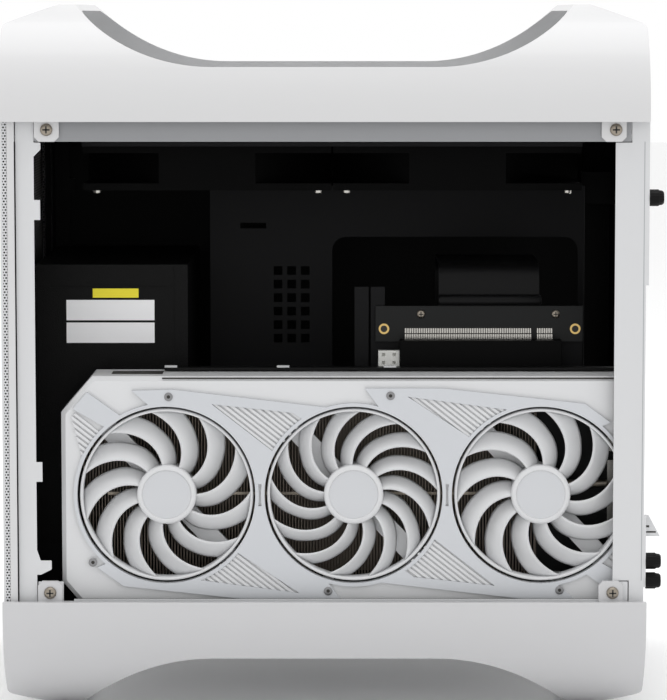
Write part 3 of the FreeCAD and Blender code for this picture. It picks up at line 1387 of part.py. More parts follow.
def riser_board():
    return block(RISER_FRONT, RISER_REAR, RISER_Y, RISER_Y + RISER_T, SLOT_TOP - RISER_LAP, RISER_TOP)


def riser_slot():
    """Card slot on the riser's face, its groove open below for the card's tongue."""
    y0 = RISER_Y - SLOT_BODY_T
    body = block(SLOT_X, SLOT_X + SLOT_BODY_L, y0, RISER_Y, SLOT_Z, SLOT_TOP)
    groove = block(TONGUE_X - TONGUE_FIT, TONGUE_X + TONGUE_L + TONGUE_FIT,
                   BOARD_FACE - TONGUE_FIT, BOARD_BACK + TONGUE_FIT, SLOT_Z, SLOT_Z + SLOT_DEPTH)
    return body.cut(groove)


def riser_pins():
    """Row of contact pins from the slot's top on to the riser's face, joined by their carrier strip."""
    count = int((SLOT_BODY_L - 2 * PIN_PITCH) / PIN_PITCH)
    x0 = SLOT_X + PIN_PITCH
    y1 = RISER_Y
    strip = block(x0, x0 + count * PIN_PITCH, y1 - PIN_W, y1, SLOT_TOP, SLOT_TOP + PIN_W)
    xs = [x0 + k * PIN_PITCH for k in range(count)]
    pins = [block(x, x + PIN_W, y1 - PIN_W, y1, SLOT_TOP + PIN_W, SLOT_TOP + PIN_H) for x in xs]
    return fused([strip] + pins)


def ribbon_path():
    """Middle line of the ribbon in the YZ plane: up from the riser, back and down behind the tray."""
    y0 = RISER_Y + RISER_T / 2
    y1 = TRAY_BACK + RIBBON_FAR
    return [(y0, RISER_TOP), (y0, RIBBON_TOP), (y1, RIBBON_TOP), (y1, plug_top())]


def plug_top():
    return TRAY_WINDOW_Z - PLUG_UNDER


def riser_ribbon():
    """Flat ribbon of constant thickness along its bent path."""
    path = ribbon_path()
    t = RIBBON_T / 2
    (y0, z0), (_, top), (y1, _), (_, z1) = path
    bend = min(RIBBON_BEND, RIBBON_BEND_MOST * (top - z0))
    r_out = bend + t
    r_in = bend - t
    corners = [(y0 - t, z0), (y0 - t, top + t, r_out), (y1 + t, top + t, r_out), (y1 + t, z1),
               (y1 - t, z1), (y1 - t, top - t, r_in), (y0 + t, top - t, r_in), (y0 + t, z0)]
    return sheet(outline(corners, on_yz(RIBBON_X)), [], X * RIBBON_L)


def riser_plug():
    """Plug at the ribbon's far end, against the back of the tray."""
    x = RIBBON_X + RIBBON_L / 2 - PLUG_L / 2
    y = TRAY_BACK
    body = block(x, x + PLUG_L, y, y + PLUG_T, plug_top() - PLUG_H, plug_top())
    edges = [e for e in body.Edges if abs(e.CenterOfMass.z - (plug_top() - PLUG_H)) < TINY]
    return body.makeChamfer(SHEET, edges)


def riser_stay():
    """Sheet bracket behind the card that carries the riser, folded to a foot on the floor."""
    rear = RISER_REAR
    split = STAY_FRONT + STAY_STRIP
    high = RISER_TOP + STAY_RISE
    low = RISER_TOP - STAY_NOTCH
    strip_end = split + STAY_SPLIT + STAY_STRIP
    corners = [(STAY_FRONT, FLOOR_Z), (rear, FLOOR_Z), (rear, RISER_TOP - FLANGE_GAP),
               (strip_end, RISER_TOP - FLANGE_GAP), (strip_end, high), (split + STAY_SPLIT, high),
               (split + STAY_SPLIT, low), (split, low), (split, high), (STAY_FRONT, high)]
    web = sheet(outline(corners, on_xz(STAY_Y)), [], Y * STAY_T)
    foot = block(STAY_FRONT, rear, STAY_Y, STAY_Y + STAY_FOOT, FLOOR_Z, FLOOR_Z + STAY_T)
    return fused([web, foot])


NODES = {
    "top_shell": top_shell,
    "bottom_shell": bottom_shell,
    "bottom_plate": bottom_plate,
    "top_plate": top_plate,
    "front_plate": front_plate,
    "rear_plate": rear_plate,
    "motherboard_tray": motherboard_tray,
    "slot_covers": slot_covers,
    "power_inlet": power_inlet,
    "thumb_screws": thumb_screws,
    "bracket_clamp": bracket_clamp,
    "front_frame": front_frame,
    "front_mesh": front_mesh,
    "top_mesh": top_mesh,
    "right_panel": right_panel,
    "io_board": io_board,
    "io_ports": io_ports,
    "power_button": power_button,
    "reset_button": reset_button,
    "top_fan_frame_front": lambda: top_fan_frame(TOP_FAN_XS[0]),
    "top_fan_frame_rear": lambda: top_fan_frame(TOP_FAN_XS[1]),
    "top_fan_rotor_front": lambda: top_fan_rotor(TOP_FAN_XS[0]),
    "top_fan_rotor_rear": lambda: top_fan_rotor(TOP_FAN_XS[1]),
    "top_fan_bracket": top_fan_bracket,
    "psu_case": psu_case,
    "psu_fan_rotor": psu_fan_rotor,
    "psu_grille": psu_grille,
    "psu_white_labels": psu_white_labels,
    "psu_yellow_label": psu_yellow_label,
    "psu_stand": psu_stand,
    "gpu_shroud": gpu_shroud,
    "gpu_fan_rotor_1": lambda: gpu_fan_rotor(0),
    "gpu_fan_rotor_2": lambda: gpu_fan_rotor(1),
    "gpu_fan_rotor_3": lambda: gpu_fan_rotor(2),
    "gpu_fan_carrier_1": lambda: gpu_fan_carrier(0),
    "gpu_fan_carrier_2": lambda: gpu_fan_carrier(1),
    "gpu_fan_carrier_3": lambda: gpu_fan_carrier(2),
    "gpu_heatsink": gpu_heatsink,
    "gpu_pcb": gpu_pcb,
    "gpu_backplate": gpu_backplate,
    "gpu_top_bar": gpu_top_bar,
    "gpu_bracket": gpu_bracket,
    "gpu_ports": gpu_ports,
    "gpu_header": gpu_header,
    "riser_board": riser_board,
    "riser_slot": riser_slot,
    "riser_pins": riser_pins,
    "riser_ribbon": riser_ribbon,
    "riser_plug": riser_plug,
    "riser_stay": riser_stay,
}


def main():
    os.makedirs("parts", exist_ok=True)
    for name, make in NODES.items():
        make().exportStep(os.path.join("parts", name + ".step"))


main()
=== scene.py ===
import math
import bpy
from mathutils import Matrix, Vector


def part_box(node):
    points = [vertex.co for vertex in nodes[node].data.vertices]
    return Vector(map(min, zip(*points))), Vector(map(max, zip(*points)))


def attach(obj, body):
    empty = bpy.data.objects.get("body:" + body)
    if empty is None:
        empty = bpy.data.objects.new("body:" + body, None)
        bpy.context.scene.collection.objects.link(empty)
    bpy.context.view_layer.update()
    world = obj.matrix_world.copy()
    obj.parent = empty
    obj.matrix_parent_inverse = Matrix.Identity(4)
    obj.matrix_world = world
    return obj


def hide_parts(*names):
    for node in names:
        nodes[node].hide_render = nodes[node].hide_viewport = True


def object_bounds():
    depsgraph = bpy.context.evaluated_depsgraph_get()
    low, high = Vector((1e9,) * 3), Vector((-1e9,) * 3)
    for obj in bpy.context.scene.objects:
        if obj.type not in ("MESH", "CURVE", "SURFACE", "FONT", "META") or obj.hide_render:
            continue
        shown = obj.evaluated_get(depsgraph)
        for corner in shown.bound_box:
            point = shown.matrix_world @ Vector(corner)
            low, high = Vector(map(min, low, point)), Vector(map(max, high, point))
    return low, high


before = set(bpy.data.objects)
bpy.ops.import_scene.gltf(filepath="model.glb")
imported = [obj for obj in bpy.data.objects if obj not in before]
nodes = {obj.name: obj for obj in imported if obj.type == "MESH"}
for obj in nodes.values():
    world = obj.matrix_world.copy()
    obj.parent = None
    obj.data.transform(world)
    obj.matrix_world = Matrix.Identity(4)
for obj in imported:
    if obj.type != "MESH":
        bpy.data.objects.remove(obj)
cad_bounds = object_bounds()
MM = 0.001
CASE_LOW, CASE_HIGH = [Vector(v) for v in cad_bounds]
CASE_MIDDLE = (CASE_LOW + CASE_HIGH) / 2
SHARP_ANGLE = 35        # degrees between faces from which an edge is sharp


def span(node):
    """Lowest and highest corner of a CAD node, in millimetres."""
    low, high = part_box(node)
    return low / MM, high / MM


# Materials

def new_material(name):
    m = bpy.data.materials.new(name)
    m.use_nodes = True
    tree = m.node_tree
    return m, tree, tree.nodes["Principled BSDF"]


def plain(name, color, rough, metal=0.0, coat=0.0, specular=0.5):
    m, _, shader = new_material(name)
    shader.inputs["Base Color"].default_value = (*color, 1)
    shader.inputs["Roughness"].default_value = rough
    shader.inputs["Metallic"].default_value = metal
    shader.inputs["Coat Weight"].default_value = coat
    shader.inputs["Specular IOR Level"].default_value = specular
    return m


def add(tree, kind, **inputs):
    node = tree.nodes.new(kind)
    for key, value in inputs.items():
        node.inputs[key.replace("_", " ")].default_value = value
    return node


def place(tree):
    """Position in the part's frame, in metres."""
    return tree.nodes.new("ShaderNodeTexCoord").outputs["Object"]


def math_node(tree, operation, a, b=None):
    node = tree.nodes.new("ShaderNodeMath")
    node.operation = operation
    for socket, value in zip(node.inputs, (a, b)):
        if value is None:
            continue
        if isinstance(value, (int, float)):
            socket.default_value = value
        else:
            tree.links.new(value, socket)
    return node.outputs[0]


def split(tree, vector):
    node = tree.nodes.new("ShaderNodeSeparateXYZ")
    tree.links.new(vector, node.inputs[0])
    return node.outputs


def mix_color(tree, factor, a, b):
    node = tree.nodes.new("ShaderNodeMix")
    node.data_type = "RGBA"
    tree.links.new(factor, node.inputs["Factor"])
    sockets = [s for s in node.inputs if s.type == "RGBA"]
    for socket, value in zip(sockets, (a, b)):
        if isinstance(value, tuple):
            socket.default_value = (*value, 1)
        else:
            tree.links.new(value, socket)
    return [s for s in node.outputs if s.type == "RGBA"][0]


def grain(m, scale, strength, distance):
    """Fine surface grain as a bump."""
    tree = m.node_tree
    shader = tree.nodes["Principled BSDF"]
    noise = add(tree, "ShaderNodeTexNoise", Scale=scale, Detail=2.0)
    tree.links.new(place(tree), noise.inputs["Vector"])
    bump = add(tree, "ShaderNodeBump", Strength=strength, Distance=distance)
    tree.links.new(noise.outputs["Fac"], bump.inputs["Height"])
    tree.links.new(bump.outputs["Normal"], shader.inputs["Normal"])
    return m


def inside(tree):
    """1 on faces that look towards the middle of the case."""
    normal = tree.nodes.new("ShaderNodeNewGeometry").outputs["True Normal"]
    inward = tree.nodes.new("ShaderNodeVectorMath")
    inward.operation = "SUBTRACT"
    inward.inputs[0].default_value = CASE_MIDDLE
    tree.links.new(place(tree), inward.inputs[1])
    dot = tree.nodes.new("ShaderNodeVectorMath")
    dot.operation = "DOT_PRODUCT"
    tree.links.new(normal, dot.inputs[0])
    tree.links.new(inward.outputs["Vector"], dot.inputs[1])
    return math_node(tree, "GREATER_THAN", dot.outputs["Value"], 0.0)


PAINT_SHINE = 0.5       # specular level of the paint outside
BAY_SHINE = 0.1         # and in the dark bay


def two_sided(name, outside, dark, rough):
    """Painted outside, with painted shade in near black on the faces that look into the bay under the top
    plate, where the inside lies in shade.
    """
    m, tree, shader = new_material(name)
    bay_top = span("top_plate")[0].z * MM
    in_bay = math_node(tree, "LESS_THAN", split(tree, place(tree))[2], bay_top)
    # faces that get the painted shade
    mask = math_node(tree, "MULTIPLY", inside(tree), in_bay)
    tree.links.new(mix_color(tree, mask, outside, dark), shader.inputs["Base Color"])
    gloss = math_node(tree, "MULTIPLY_ADD", mask, BAY_SHINE - PAINT_SHINE)
    gloss.node.inputs[2].default_value = PAINT_SHINE
    tree.links.new(gloss, shader.inputs["Specular IOR Level"])
    shader.inputs["Roughness"].default_value = rough
    return m


HOLE_PITCH = 1.8        # staggered holes of the perforated sheets
HOLE_SHARE = 0.33       # their radius as a share of the pitch
ROW_SHARE = 0.866       # space between rows as a share of the pitch
PLAIN_RIM = 1.2         # width without holes at the front


def dots(tree, u, v):
    """1 inside staggered round holes of a perforated sheet."""
    pitch = HOLE_PITCH * MM
    row = math_node(tree, "DIVIDE", v, pitch * ROW_SHARE)
    odd = math_node(tree, "MULTIPLY", math_node(tree, "MODULO", math_node(tree, "FLOOR", row), 2.0), 0.5)
    col = math_node(tree, "ADD", math_node(tree, "DIVIDE", u, pitch), odd)
    a = math_node(tree, "SUBTRACT", math_node(tree, "FRACT", col), 0.5)
    b = math_node(tree, "SUBTRACT", math_node(tree, "FRACT", row), 0.5)
    far = math_node(tree, "SQRT", math_node(tree, "ADD", math_node(tree, "MULTIPLY", a, a),
                                            math_node(tree, "MULTIPLY", b, b)))
    return math_node(tree, "LESS_THAN", far, HOLE_SHARE)


def perforated(name, upright):
    """Sheet with fine round holes but for a plain rim at its front, and greyer inside."""
    m, tree, shader = new_material(name)
    x, y, z = split(tree, place(tree))
    across, along = (math_node(tree, "ADD", x, y), z) if upright else (x, y)
    mask = dots(tree, math_node(tree, "ADD", across, 1.0), math_node(tree, "ADD", along, 1.0))
    normal = tree.nodes.new("ShaderNodeNewGeometry").outputs["True Normal"]
    side = math_node(tree, "GREATER_THAN", math_node(tree, "ABSOLUTE", split(tree, normal)[1]), 0.5)
    rim = (span("front_mesh")[0].x + PLAIN_RIM) * MM
    plain_rim = math_node(tree, "MULTIPLY", side, math_node(tree, "LESS_THAN", x, rim))
    mask = math_node(tree, "MULTIPLY", mask, math_node(tree, "SUBTRACT", 1.0, plain_rim))
    if not upright:
        level = math_node(tree, "GREATER_THAN", math_node(tree, "ABSOLUTE", split(tree, normal)[2]), 0.5)
        mask = math_node(tree, "MULTIPLY", mask, level)
    outer = mix_color(tree, mask, STEEL, HOLE)
    inner = mix_color(tree, mask, STRAND, INNER_HOLE)
    tree.links.new(mix_color(tree, inside(tree), outer, inner), shader.inputs["Base Color"])
    shader.inputs["Roughness"].default_value = 0.5
    shader.inputs["Specular IOR Level"].default_value = 0.25
    return m


WHITE = (0.60, 0.60, 0.605)
# painted shade: the bottom shell's white, a darker copy of the top shell's plastic
LOWER_WHITE_PAINTED_SHADE = (0.535, 0.535, 0.545)
STEEL = (0.60, 0.605, 0.615)
# painted shade: grey for the top plate's upright faces under the shells' overhang
RAIL_PAINTED_SHADE = (0.27, 0.275, 0.285)
# near black: painted shade for the sheets' faces in the bay, and the card bar's own black
BLACK_AND_BAY_SHADE = (0.004, 0.004, 0.004)
HOLE = (0.02, 0.02, 0.02)
STRAND = (0.35, 0.34, 0.34)  # inside of the perforated sheets
INNER_HOLE = (0.002, 0.002, 0.002)
CARD = (0.63, 0.635, 0.645)
CARD_PLATE = (0.545, 0.56, 0.585)
white_plastic = plain("white_plastic", WHITE, 0.38, coat=0.15)
lower_plastic_painted_shade = plain("lower_plastic_painted_shade", LOWER_WHITE_PAINTED_SHADE, 0.38, coat=0.15)
white_steel = grain(plain("white_steel", STEEL, 0.45), 900.0, 0.05, 0.0002)
case_steel = two_sided("case_steel", STEEL, BLACK_AND_BAY_SHADE, 0.5)
front_mesh_white = perforated("front_mesh_white", True)
top_mesh_white = perforated("top_mesh_white", False)
white_frame = two_sided("white_frame", WHITE, BLACK_AND_BAY_SHADE, 0.4)
dark_steel = grain(plain("dark_steel", (0.007, 0.007, 0.0075), 0.55, specular=0.1), 1500.0, 0.15, 0.0002)
psu_black = grain(plain("psu_black", (0.004, 0.004, 0.004), 0.45, specular=0.1), 1400.0, 0.6, 0.0004)
black_plastic = plain("black_plastic", (0.002, 0.002, 0.002), 0.5, specular=0.06)
knob_black = plain("knob_black", (0.004, 0.004, 0.004), 0.45, specular=0.12)
black_metal = plain("black_metal", (0.010, 0.010, 0.010), 0.4, specular=0.3)
board_black = plain("board_black", (0.006, 0.0065, 0.0065), 0.4, specular=0.2)
ribbon_black = plain("ribbon_black", (0.004, 0.004, 0.0042), 0.35, specular=0.12)
fan_black = plain("fan_black", (0.0012, 0.0012, 0.0012), 0.5, specular=0.04)
card_white = plain("card_white", CARD, 0.4)
rotor_white = plain("rotor_white", CARD, 0.38)
badge_grey = plain("badge_grey", (0.56, 0.57, 0.59), 0.3, metal=0.2)
backplate_white = plain("backplate_white", (0.74, 0.75, 0.77), 0.4)
fin_metal = plain("fin_metal", (0.19, 0.155, 0.125), 0.45, metal=0.3)
plated = plain("plated", (0.62, 0.60, 0.56), 0.25, metal=1.0)
gold = plain("gold", (0.60, 0.42, 0.16), 0.3, metal=1.0)
nickel = plain("nickel", (0.30, 0.265, 0.22), 0.34, metal=1.0)
socket_grey = plain("socket_grey", (0.24, 0.24, 0.245), 0.4, metal=0.5)
seam_grey = plain("seam_grey", (0.36, 0.37, 0.385), 0.5)
# near black: painted shade in recesses, slots and holes, and the card's own dark joint line
recess_shade_and_joint_black = plain("recess_shade_and_joint_black", (0.02, 0.018, 0.015), 0.6)
label_white = plain("label_white", (0.92, 0.92, 0.93), 0.6)
label_yellow = plain("label_yellow", (0.90, 0.78, 0.03), 0.6)
header_white = plain("header_white", (0.72, 0.72, 0.69), 0.45)


def rail_material():
    """White steel, with painted shade in grey on the upright faces along the two sides, which lie under the
    shells' overhang.
    """
    m, tree, shader = new_material("rail_steel")
    normal = tree.nodes.new("ShaderNodeNewGeometry").outputs["True Normal"]
    side = math_node(tree, "GREATER_THAN", math_node(tree, "ABSOLUTE", split(tree, normal)[1]), 0.5)
    # painted shade on the upright side faces
    tree.links.new(mix_color(tree, side, STEEL, RAIL_PAINTED_SHADE), shader.inputs["Base Color"])
    shader.inputs["Roughness"].default_value = 0.5
    return m


rail_steel = rail_material()


PLATE_FACE = 0.15       # the raised plates' faces lie this near the shroud's front
# painted shade: greys for the side walls of the raised plates and ribs
EDGE_PAINTED_SHADE = ((1.7, (0.42, 0.43, 0.445)), (0.6, (0.25, 0.26, 0.275)))  # depth from the front, and grey


def shroud_material():
    """White shroud, cooler on the raised plates, with painted shade in grey on their edges."""
    m, tree, shader = new_material("shroud_white")
    y = split(tree, place(tree))[1]
    front = span("gpu_shroud")[0].y
    raised = math_node(tree, "LESS_THAN", y, (front + PLATE_FACE) * MM)
    color = mix_color(tree, raised, CARD, CARD_PLATE)
    normal = tree.nodes.new("ShaderNodeNewGeometry").outputs["True Normal"]
    flat = math_node(tree, "LESS_THAN", math_node(tree, "ABSOLUTE", split(tree, normal)[1]), 0.5)
    for depth, shade in EDGE_PAINTED_SHADE:
        edge = math_node(tree, "MULTIPLY", flat, math_node(tree, "LESS_THAN", y, (front + depth) * MM))
        color = mix_color(tree, edge, color, shade)
    tree.links.new(color, shader.inputs["Base Color"])
    shader.inputs["Roughness"].default_value = 0.4
    return m


shroud_white = shroud_material()


CLIP_SHOW = 0.95        # height of the clips above the bar


def bar_material():
    """Black bar whose clips on top are white."""
    m, tree, shader = new_material("bar_black")
    clip_low = (span("gpu_top_bar")[1].z - CLIP_SHOW) * MM
    clip = math_node(tree, "GREATER_THAN", split(tree, place(tree))[2], clip_low)
    tree.links.new(mix_color(tree, clip, BLACK_AND_BAY_SHADE, CARD), shader.inputs["Base Color"])
    shader.inputs["Roughness"].default_value = 0.45
    shader.inputs["Specular IOR Level"].default_value = 0.15
    return m


bar_black = bar_material()


# CAD nodes

def dress(node, material, bevel=0.3):
    """Finish of a CAD node, with edges softened by bevel millimetres or left sharp at 0."""
    obj = nodes[node]
    obj.data.materials.clear()
    obj.data.materials.append(material)
    if not bevel:
        obj.data.set_sharp_from_angle(angle=math.radians(SHARP_ANGLE))
        return
    obj.data.shade_smooth()
    weld = obj.modifiers.new("weld", "WELD")
    weld.merge_threshold = 1e-6
    mod = obj.modifiers.new("bevel", "BEVEL")
    mod.width = bevel * MM
    mod.segments = 2
    mod.limit_method = "ANGLE"
    mod.angle_limit = math.radians(SHARP_ANGLE)
    normals = obj.modifiers.new("normals", "WEIGHTED_NORMAL")
    normals.keep_sharp = False


dress("top_shell", white_plastic, 0.7)
# bottom shell in the darker copy of the shells' plastic, as painted shade
dress("bottom_shell", lower_plastic_painted_shade, 0.7)
dress("front_frame", white_frame, 0.5)
dress("front_mesh", front_mesh_white, 0.3)
dress("top_mesh", top_mesh_white, 0.3)
for plate in ("bottom_plate", "front_plate", "right_panel"):
    dress(plate, case_steel)
dress("rear_plate", case_steel, 0)
dress("top_plate", rail_steel)
dress("bracket_clamp", white_steel)
dress("slot_covers", white_steel)
dress("power_inlet", black_plastic)
dress("motherboard_tray", dark_steel)
dress("top_fan_bracket", dark_steel)
for end in ("front", "rear"):
    dress("top_fan_frame_" + end, fan_black, 0.5)
    dress("top_fan_rotor_" + end, fan_black, 0)
dress("psu_case", psu_black, 0.6)
dress("psu_grille", black_metal)
dress("psu_fan_rotor", black_plastic, 0)
dress("psu_stand", dark_steel)
dress("psu_white_labels", label_white, 0)
dress("psu_yellow_label", label_yellow, 0)
dress("gpu_shroud", shroud_white, 0.25)
dress("gpu_pcb", board_black, 0.1)
dress("gpu_backplate", backplate_white, 0.4)
dress("gpu_top_bar", bar_black, 0.15)
dress("gpu_bracket", plated, 0.1)
dress("gpu_ports", plated, 0.2)
dress("gpu_header", header_white, 0.2)
for k in (1, 2, 3):
    dress("gpu_fan_carrier_%d" % k, card_white, 0.3)
dress("riser_board", board_black, 0.1)
dress("riser_slot", black_plastic, 0.3)
dress("riser_ribbon", ribbon_black, 0.1)
dress("riser_plug", black_plastic, 0.4)
dress("riser_stay", dark_steel, 0.1)
dress("io_board", board_black, 0.1)
dress("io_ports", plated, 0.1)
dress("power_button", white_plastic, 0.2)
dress("reset_button", white_plastic, 0.2)


# Added pieces

def piece(name, verts, faces, material, body, smooth=True):
    """Mesh piece given in millimetres of the part's frame, riding on a body."""
    mesh = bpy.data.meshes.new(name)
    mesh.from_pydata([tuple(c * MM for c in v) for v in verts], [], faces)
    mesh.update()
    obj = bpy.data.objects.new(name, mesh)
    bpy.context.scene.collection.objects.link(obj)
    mesh.materials.append(material)
    if smooth:
        mesh.shade_smooth()
    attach(obj, body)
    return obj


def box_faces(first):
    quads = ((0, 1, 3, 2), (4, 6, 7, 5), (0, 4, 5, 1), (2, 3, 7, 6), (0, 2, 6, 4), (1, 5, 7, 3))
    return [tuple(first + i for i in q) for q in quads]


def boxes(name, spans, material, body):
    """One piece of several boxes, each (x0, x1, y0, y1, z0, z1)."""
    verts = []
    faces = []
    for x0, x1, y0, y1, z0, z1 in spans:
        faces += box_faces(len(verts))
        verts += [(x, y, z) for x in (x0, x1) for y in (y0, y1) for z in (z0, z1)]
    return piece(name, verts, faces, material, body, smooth=False)


def lathe(profile, sides, origin, axis, wave=0.0):
    """Points and faces of a profile of (radius, height) turned about an axis through origin."""
    turn = Vector((0, 0, 1)).rotation_difference(Vector(axis)).to_matrix()
    verts = []
    faces = []
    for radius, height in profile:
        for k in range(sides):
            angle = 2 * math.pi * k / sides
            r = radius - (wave if k % 2 else 0.0) * (radius > 0)
            spot = turn @ Vector((r * math.cos(angle), r * math.sin(angle), height)) + Vector(origin)
            verts.append(tuple(spot))
    for i in range(len(profile) - 1):
        for k in range(sides):
            a = i * sides + k
            b = i * sides + (k + 1) % sides
            faces.append((a, b, b + sides, a + sides))
    faces.append(tuple(range(sides))[::-1])
    faces.append(tuple(range((len(profile) - 1) * sides, len(profile) * sides)))
    return verts, faces


def turned(name, profile, sides, places, axis, material, body, wave=0.0, angle=SHARP_ANGLE):
    """One piece of equal turned solids at several places."""
    verts = []
    faces = []
    for spot in places:
        v, f = lathe(profile, sides, spot, axis, wave)
        faces += [tuple(i + len(verts) for i in face) for face in f]
        verts += v
    obj = piece(name, verts, faces, material, body)
    obj.data.set_sharp_from_angle(angle=math.radians(angle))
    return obj


# Card fans

ROTORS = [span("gpu_fan_rotor_%d" % k) for k in (1, 2, 3)]
FAN_XS = [(low.x + high.x) / 2 for low, high in ROTORS]
FAN_Z = (ROTORS[1][0].z + ROTORS[1][1].z) / 2
ROTOR_FRONT = ROTORS[1][0].y
ROTOR_BACK = ROTORS[1][1].y
RING = (ROTORS[1][1].z - ROTORS[1][0].z) / 2
RING_WALL = 1.5
HUB = 16.5
BADGE_R = 13.3
BLADE_ROWS = 14
BLADE_COLS = 8
BLADE_T = 0.9
BLADE_ROOT = 1.0        # the blades start this far inside the hub
BLADE_TIP = 1.2         # and end this far inside the ring's outer face
BLADE_SWEEP = 35.0      # degrees that a blade leads at its tip
SWEEP_POWER = 1.6
BLADE_GAP = 7.0         # degrees open between blades at the hub
BLADE_GAP_MORE = 6.2    # more degrees open towards the ring
GAP_REACH = 1.6         # the gap is full at 1 / GAP_REACH of the blade's length
BLADE_HIGH = 9.6        # leading edge above the rotor's back
BLADE_FALL = 8.4        # from there down to the trailing edge
FALL_POWER = 1.15
ROOT_DROP = 0.9         # leading edge lower by this at the hub
BLADE_STEP = 10         # degrees between the first blades of neighbouring fans


def blade_grid(count, turn, first):
    """Surface of one swept blade as (x, y, z) points about the fan's axis."""
    points = []
    for i in range(BLADE_ROWS + 1):
        share = i / BLADE_ROWS
        radius = HUB - BLADE_ROOT + (RING - BLADE_TIP - HUB + BLADE_ROOT) * share
        lead = BLADE_SWEEP * share ** SWEEP_POWER
        chord = 360 / count - BLADE_GAP - BLADE_GAP_MORE * min(1.0, GAP_REACH * share)
        for j in range(BLADE_COLS + 1):
            t = j / BLADE_COLS
            angle = math.radians(first + turn * (lead - chord * t))
            height = BLADE_HIGH - BLADE_FALL * t ** FALL_POWER - ROOT_DROP * (1 - share) * (1 - t)
            points.append((radius * math.cos(angle), ROTOR_BACK - height, radius * math.sin(angle)))
    faces = []
    for i in range(BLADE_ROWS):
        for j in range(BLADE_COLS):
            a = i * (BLADE_COLS + 1) + j
            quad = (a, a + 1, a + BLADE_COLS + 2, a + BLADE_COLS + 1)
            faces.append(quad if turn > 0 else quad[::-1])
    return points, faces


def rotor(index, count, turn):
    """Smooth blades, ring, hub and plain badge of one card fan."""
    body = "gpu_rotor_%d" % (index + 1)
    cx = FAN_XS[index]
    verts = []
    faces = []
    for k in range(count):
        points, quads = blade_grid(count, turn, 360 * k / count + BLADE_STEP * index)
        faces += [tuple(i + len(verts) for i in q) for q in quads]
        verts += [(x + cx, y, z + FAN_Z) for x, y, z in points]
    vanes = piece("rotor_%d_blades" % (index + 1), verts, faces, rotor_white, body)
    solid = vanes.modifiers.new("solid", "SOLIDIFY")
    solid.thickness = BLADE_T * MM
    solid.offset = 0
    depth = ROTOR_BACK - ROTOR_FRONT
    bore = RING - RING_WALL
    ring = [(bore, 0), (RING - 0.2, 0), (RING, 0.3), (RING, depth - 0.4), (RING - 0.4, depth),
            (bore + 0.3, depth), (bore, depth - 0.3), (bore, 0)]
    origin = (cx, ROTOR_BACK, FAN_Z)
    v, f = lathe(ring, 96, origin, (0, -1, 0))
    band = piece("rotor_%d_ring" % (index + 1), v, f[:-2], rotor_white, body)
    band.data.set_sharp_from_angle(angle=math.radians(50))
    cap = [(HUB - 0.4, 0), (HUB, 0.6), (HUB, depth - 1.4), (HUB - 0.4, depth - 0.6), (HUB - 1.3, depth - 0.1),
           (BADGE_R + 0.7, depth - 0.1), (BADGE_R + 0.3, depth - 0.5), (BADGE_R + 0.1, depth - 0.7)]
    cup = turned("rotor_%d_hub" % (index + 1), cap, 64, [origin], (0, -1, 0), rotor_white, body,
                 angle=40)
    badge = [(BADGE_R, depth - 0.9), (BADGE_R, depth - 0.55), (BADGE_R - 0.3, depth - 0.45)]
    turned("rotor_%d_badge" % (index + 1), badge, 64, [origin], (0, -1, 0), badge_grey, body)
    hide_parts("gpu_fan_rotor_%d" % (index + 1))


rotor(0, 11, 1)
rotor(1, 13, -1)
rotor(2, 11, 1)


# Card cooler

FIN_PITCH = 1.7
FIN_T = 0.55
FIN_BASE = 4.0
FRONT_FINS = 8          # fins beside the shroud's front post
POST_CLEAR = 20.0       # those fins start this far above the others
STRIP_DOWN = (3.4, 1.8)  # strip below the middle of the fins
STRIP_PROUD = 0.4
STRIP_SUNK = 0.1
PIPE_R = 2.2
PIPE_UP = 1.8           # pipe above the middle of the fins
PIPE_TIP = 1.0          # rounded end of the pipe


def cooler():
    """Close fins on a base, a strip across them, and the end of a heat pipe behind the rear fan."""
    low, high = span("gpu_heatsink")
    base = high.y - FIN_BASE
    count = int((high.x - low.x) / FIN_PITCH)
    starts = [low.x + k * FIN_PITCH for k in range(count)]
    spans = [(x, x + FIN_T, low.y, base, low.z, high.z) for x in starts]
    spans.append((low.x, high.x, base, high.y, low.z, high.z))
    fins = boxes("cooler_fins", spans, fin_metal, "case")
    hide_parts("gpu_heatsink")
    starts = [low.x - (k + 1) * FIN_PITCH for k in range(FRONT_FINS)]
    spans = [(x, x + FIN_T, low.y, base, low.z + POST_CLEAR, high.z - POST_CLEAR / 2) for x in starts]
    boxes("cooler_front_fins", spans, fin_metal, "case")
    middle = (low.z + high.z) / 2
    strip = (low.x, high.x, low.y - STRIP_PROUD, low.y + STRIP_SUNK, *(middle - down for down in STRIP_DOWN))
    boxes("cooler_strip", [strip], nickel, "case")
    reach = span("gpu_ports")[0].x - high.x
    turned("cooler_pipe", [(PIPE_R, 0), (PIPE_R, reach - PIPE_TIP), (PIPE_R * 0.6, reach)], 24,
           [(high.x, (low.y + base) / 2, middle + PIPE_UP)], (1, 0, 0), nickel, "case")


cooler()


# Ribs of the shroud's fields, one between each pair in the solid

RIB_PITCH = 5.0
RIB_W = 1.5
RIB_ANGLE = math.radians(-38.0)
RIB_MOST = 8            # ribs on each side of a field's middle, at most
RIB_DOWN = 0.6          # ribs behind the faces of the raised plates
FLOOR_DOWN = 1.6        # shroud's own face behind them
SHROUD_LOW, SHROUD_HIGH = span("gpu_shroud")
RIB_FRONT = SHROUD_LOW.y + RIB_DOWN
RIB_BACK = SHROUD_LOW.y + FLOOR_DOWN
# Corners of the fields from the middle fan's axis, each field also turned half round it
FIELDS = (
    ((-78.5, 50.8), (-33.6, 46.0), (-27.4, 41.6), (-44.1, 24.0)),
    ((30.0, 55.0), (85.4, 47.7), (65.1, 31.8)),
    ((-156.5, 43.8), (-153.7, 46.0), (-139.8, 34.4), (-150.4, 20.0)),
)


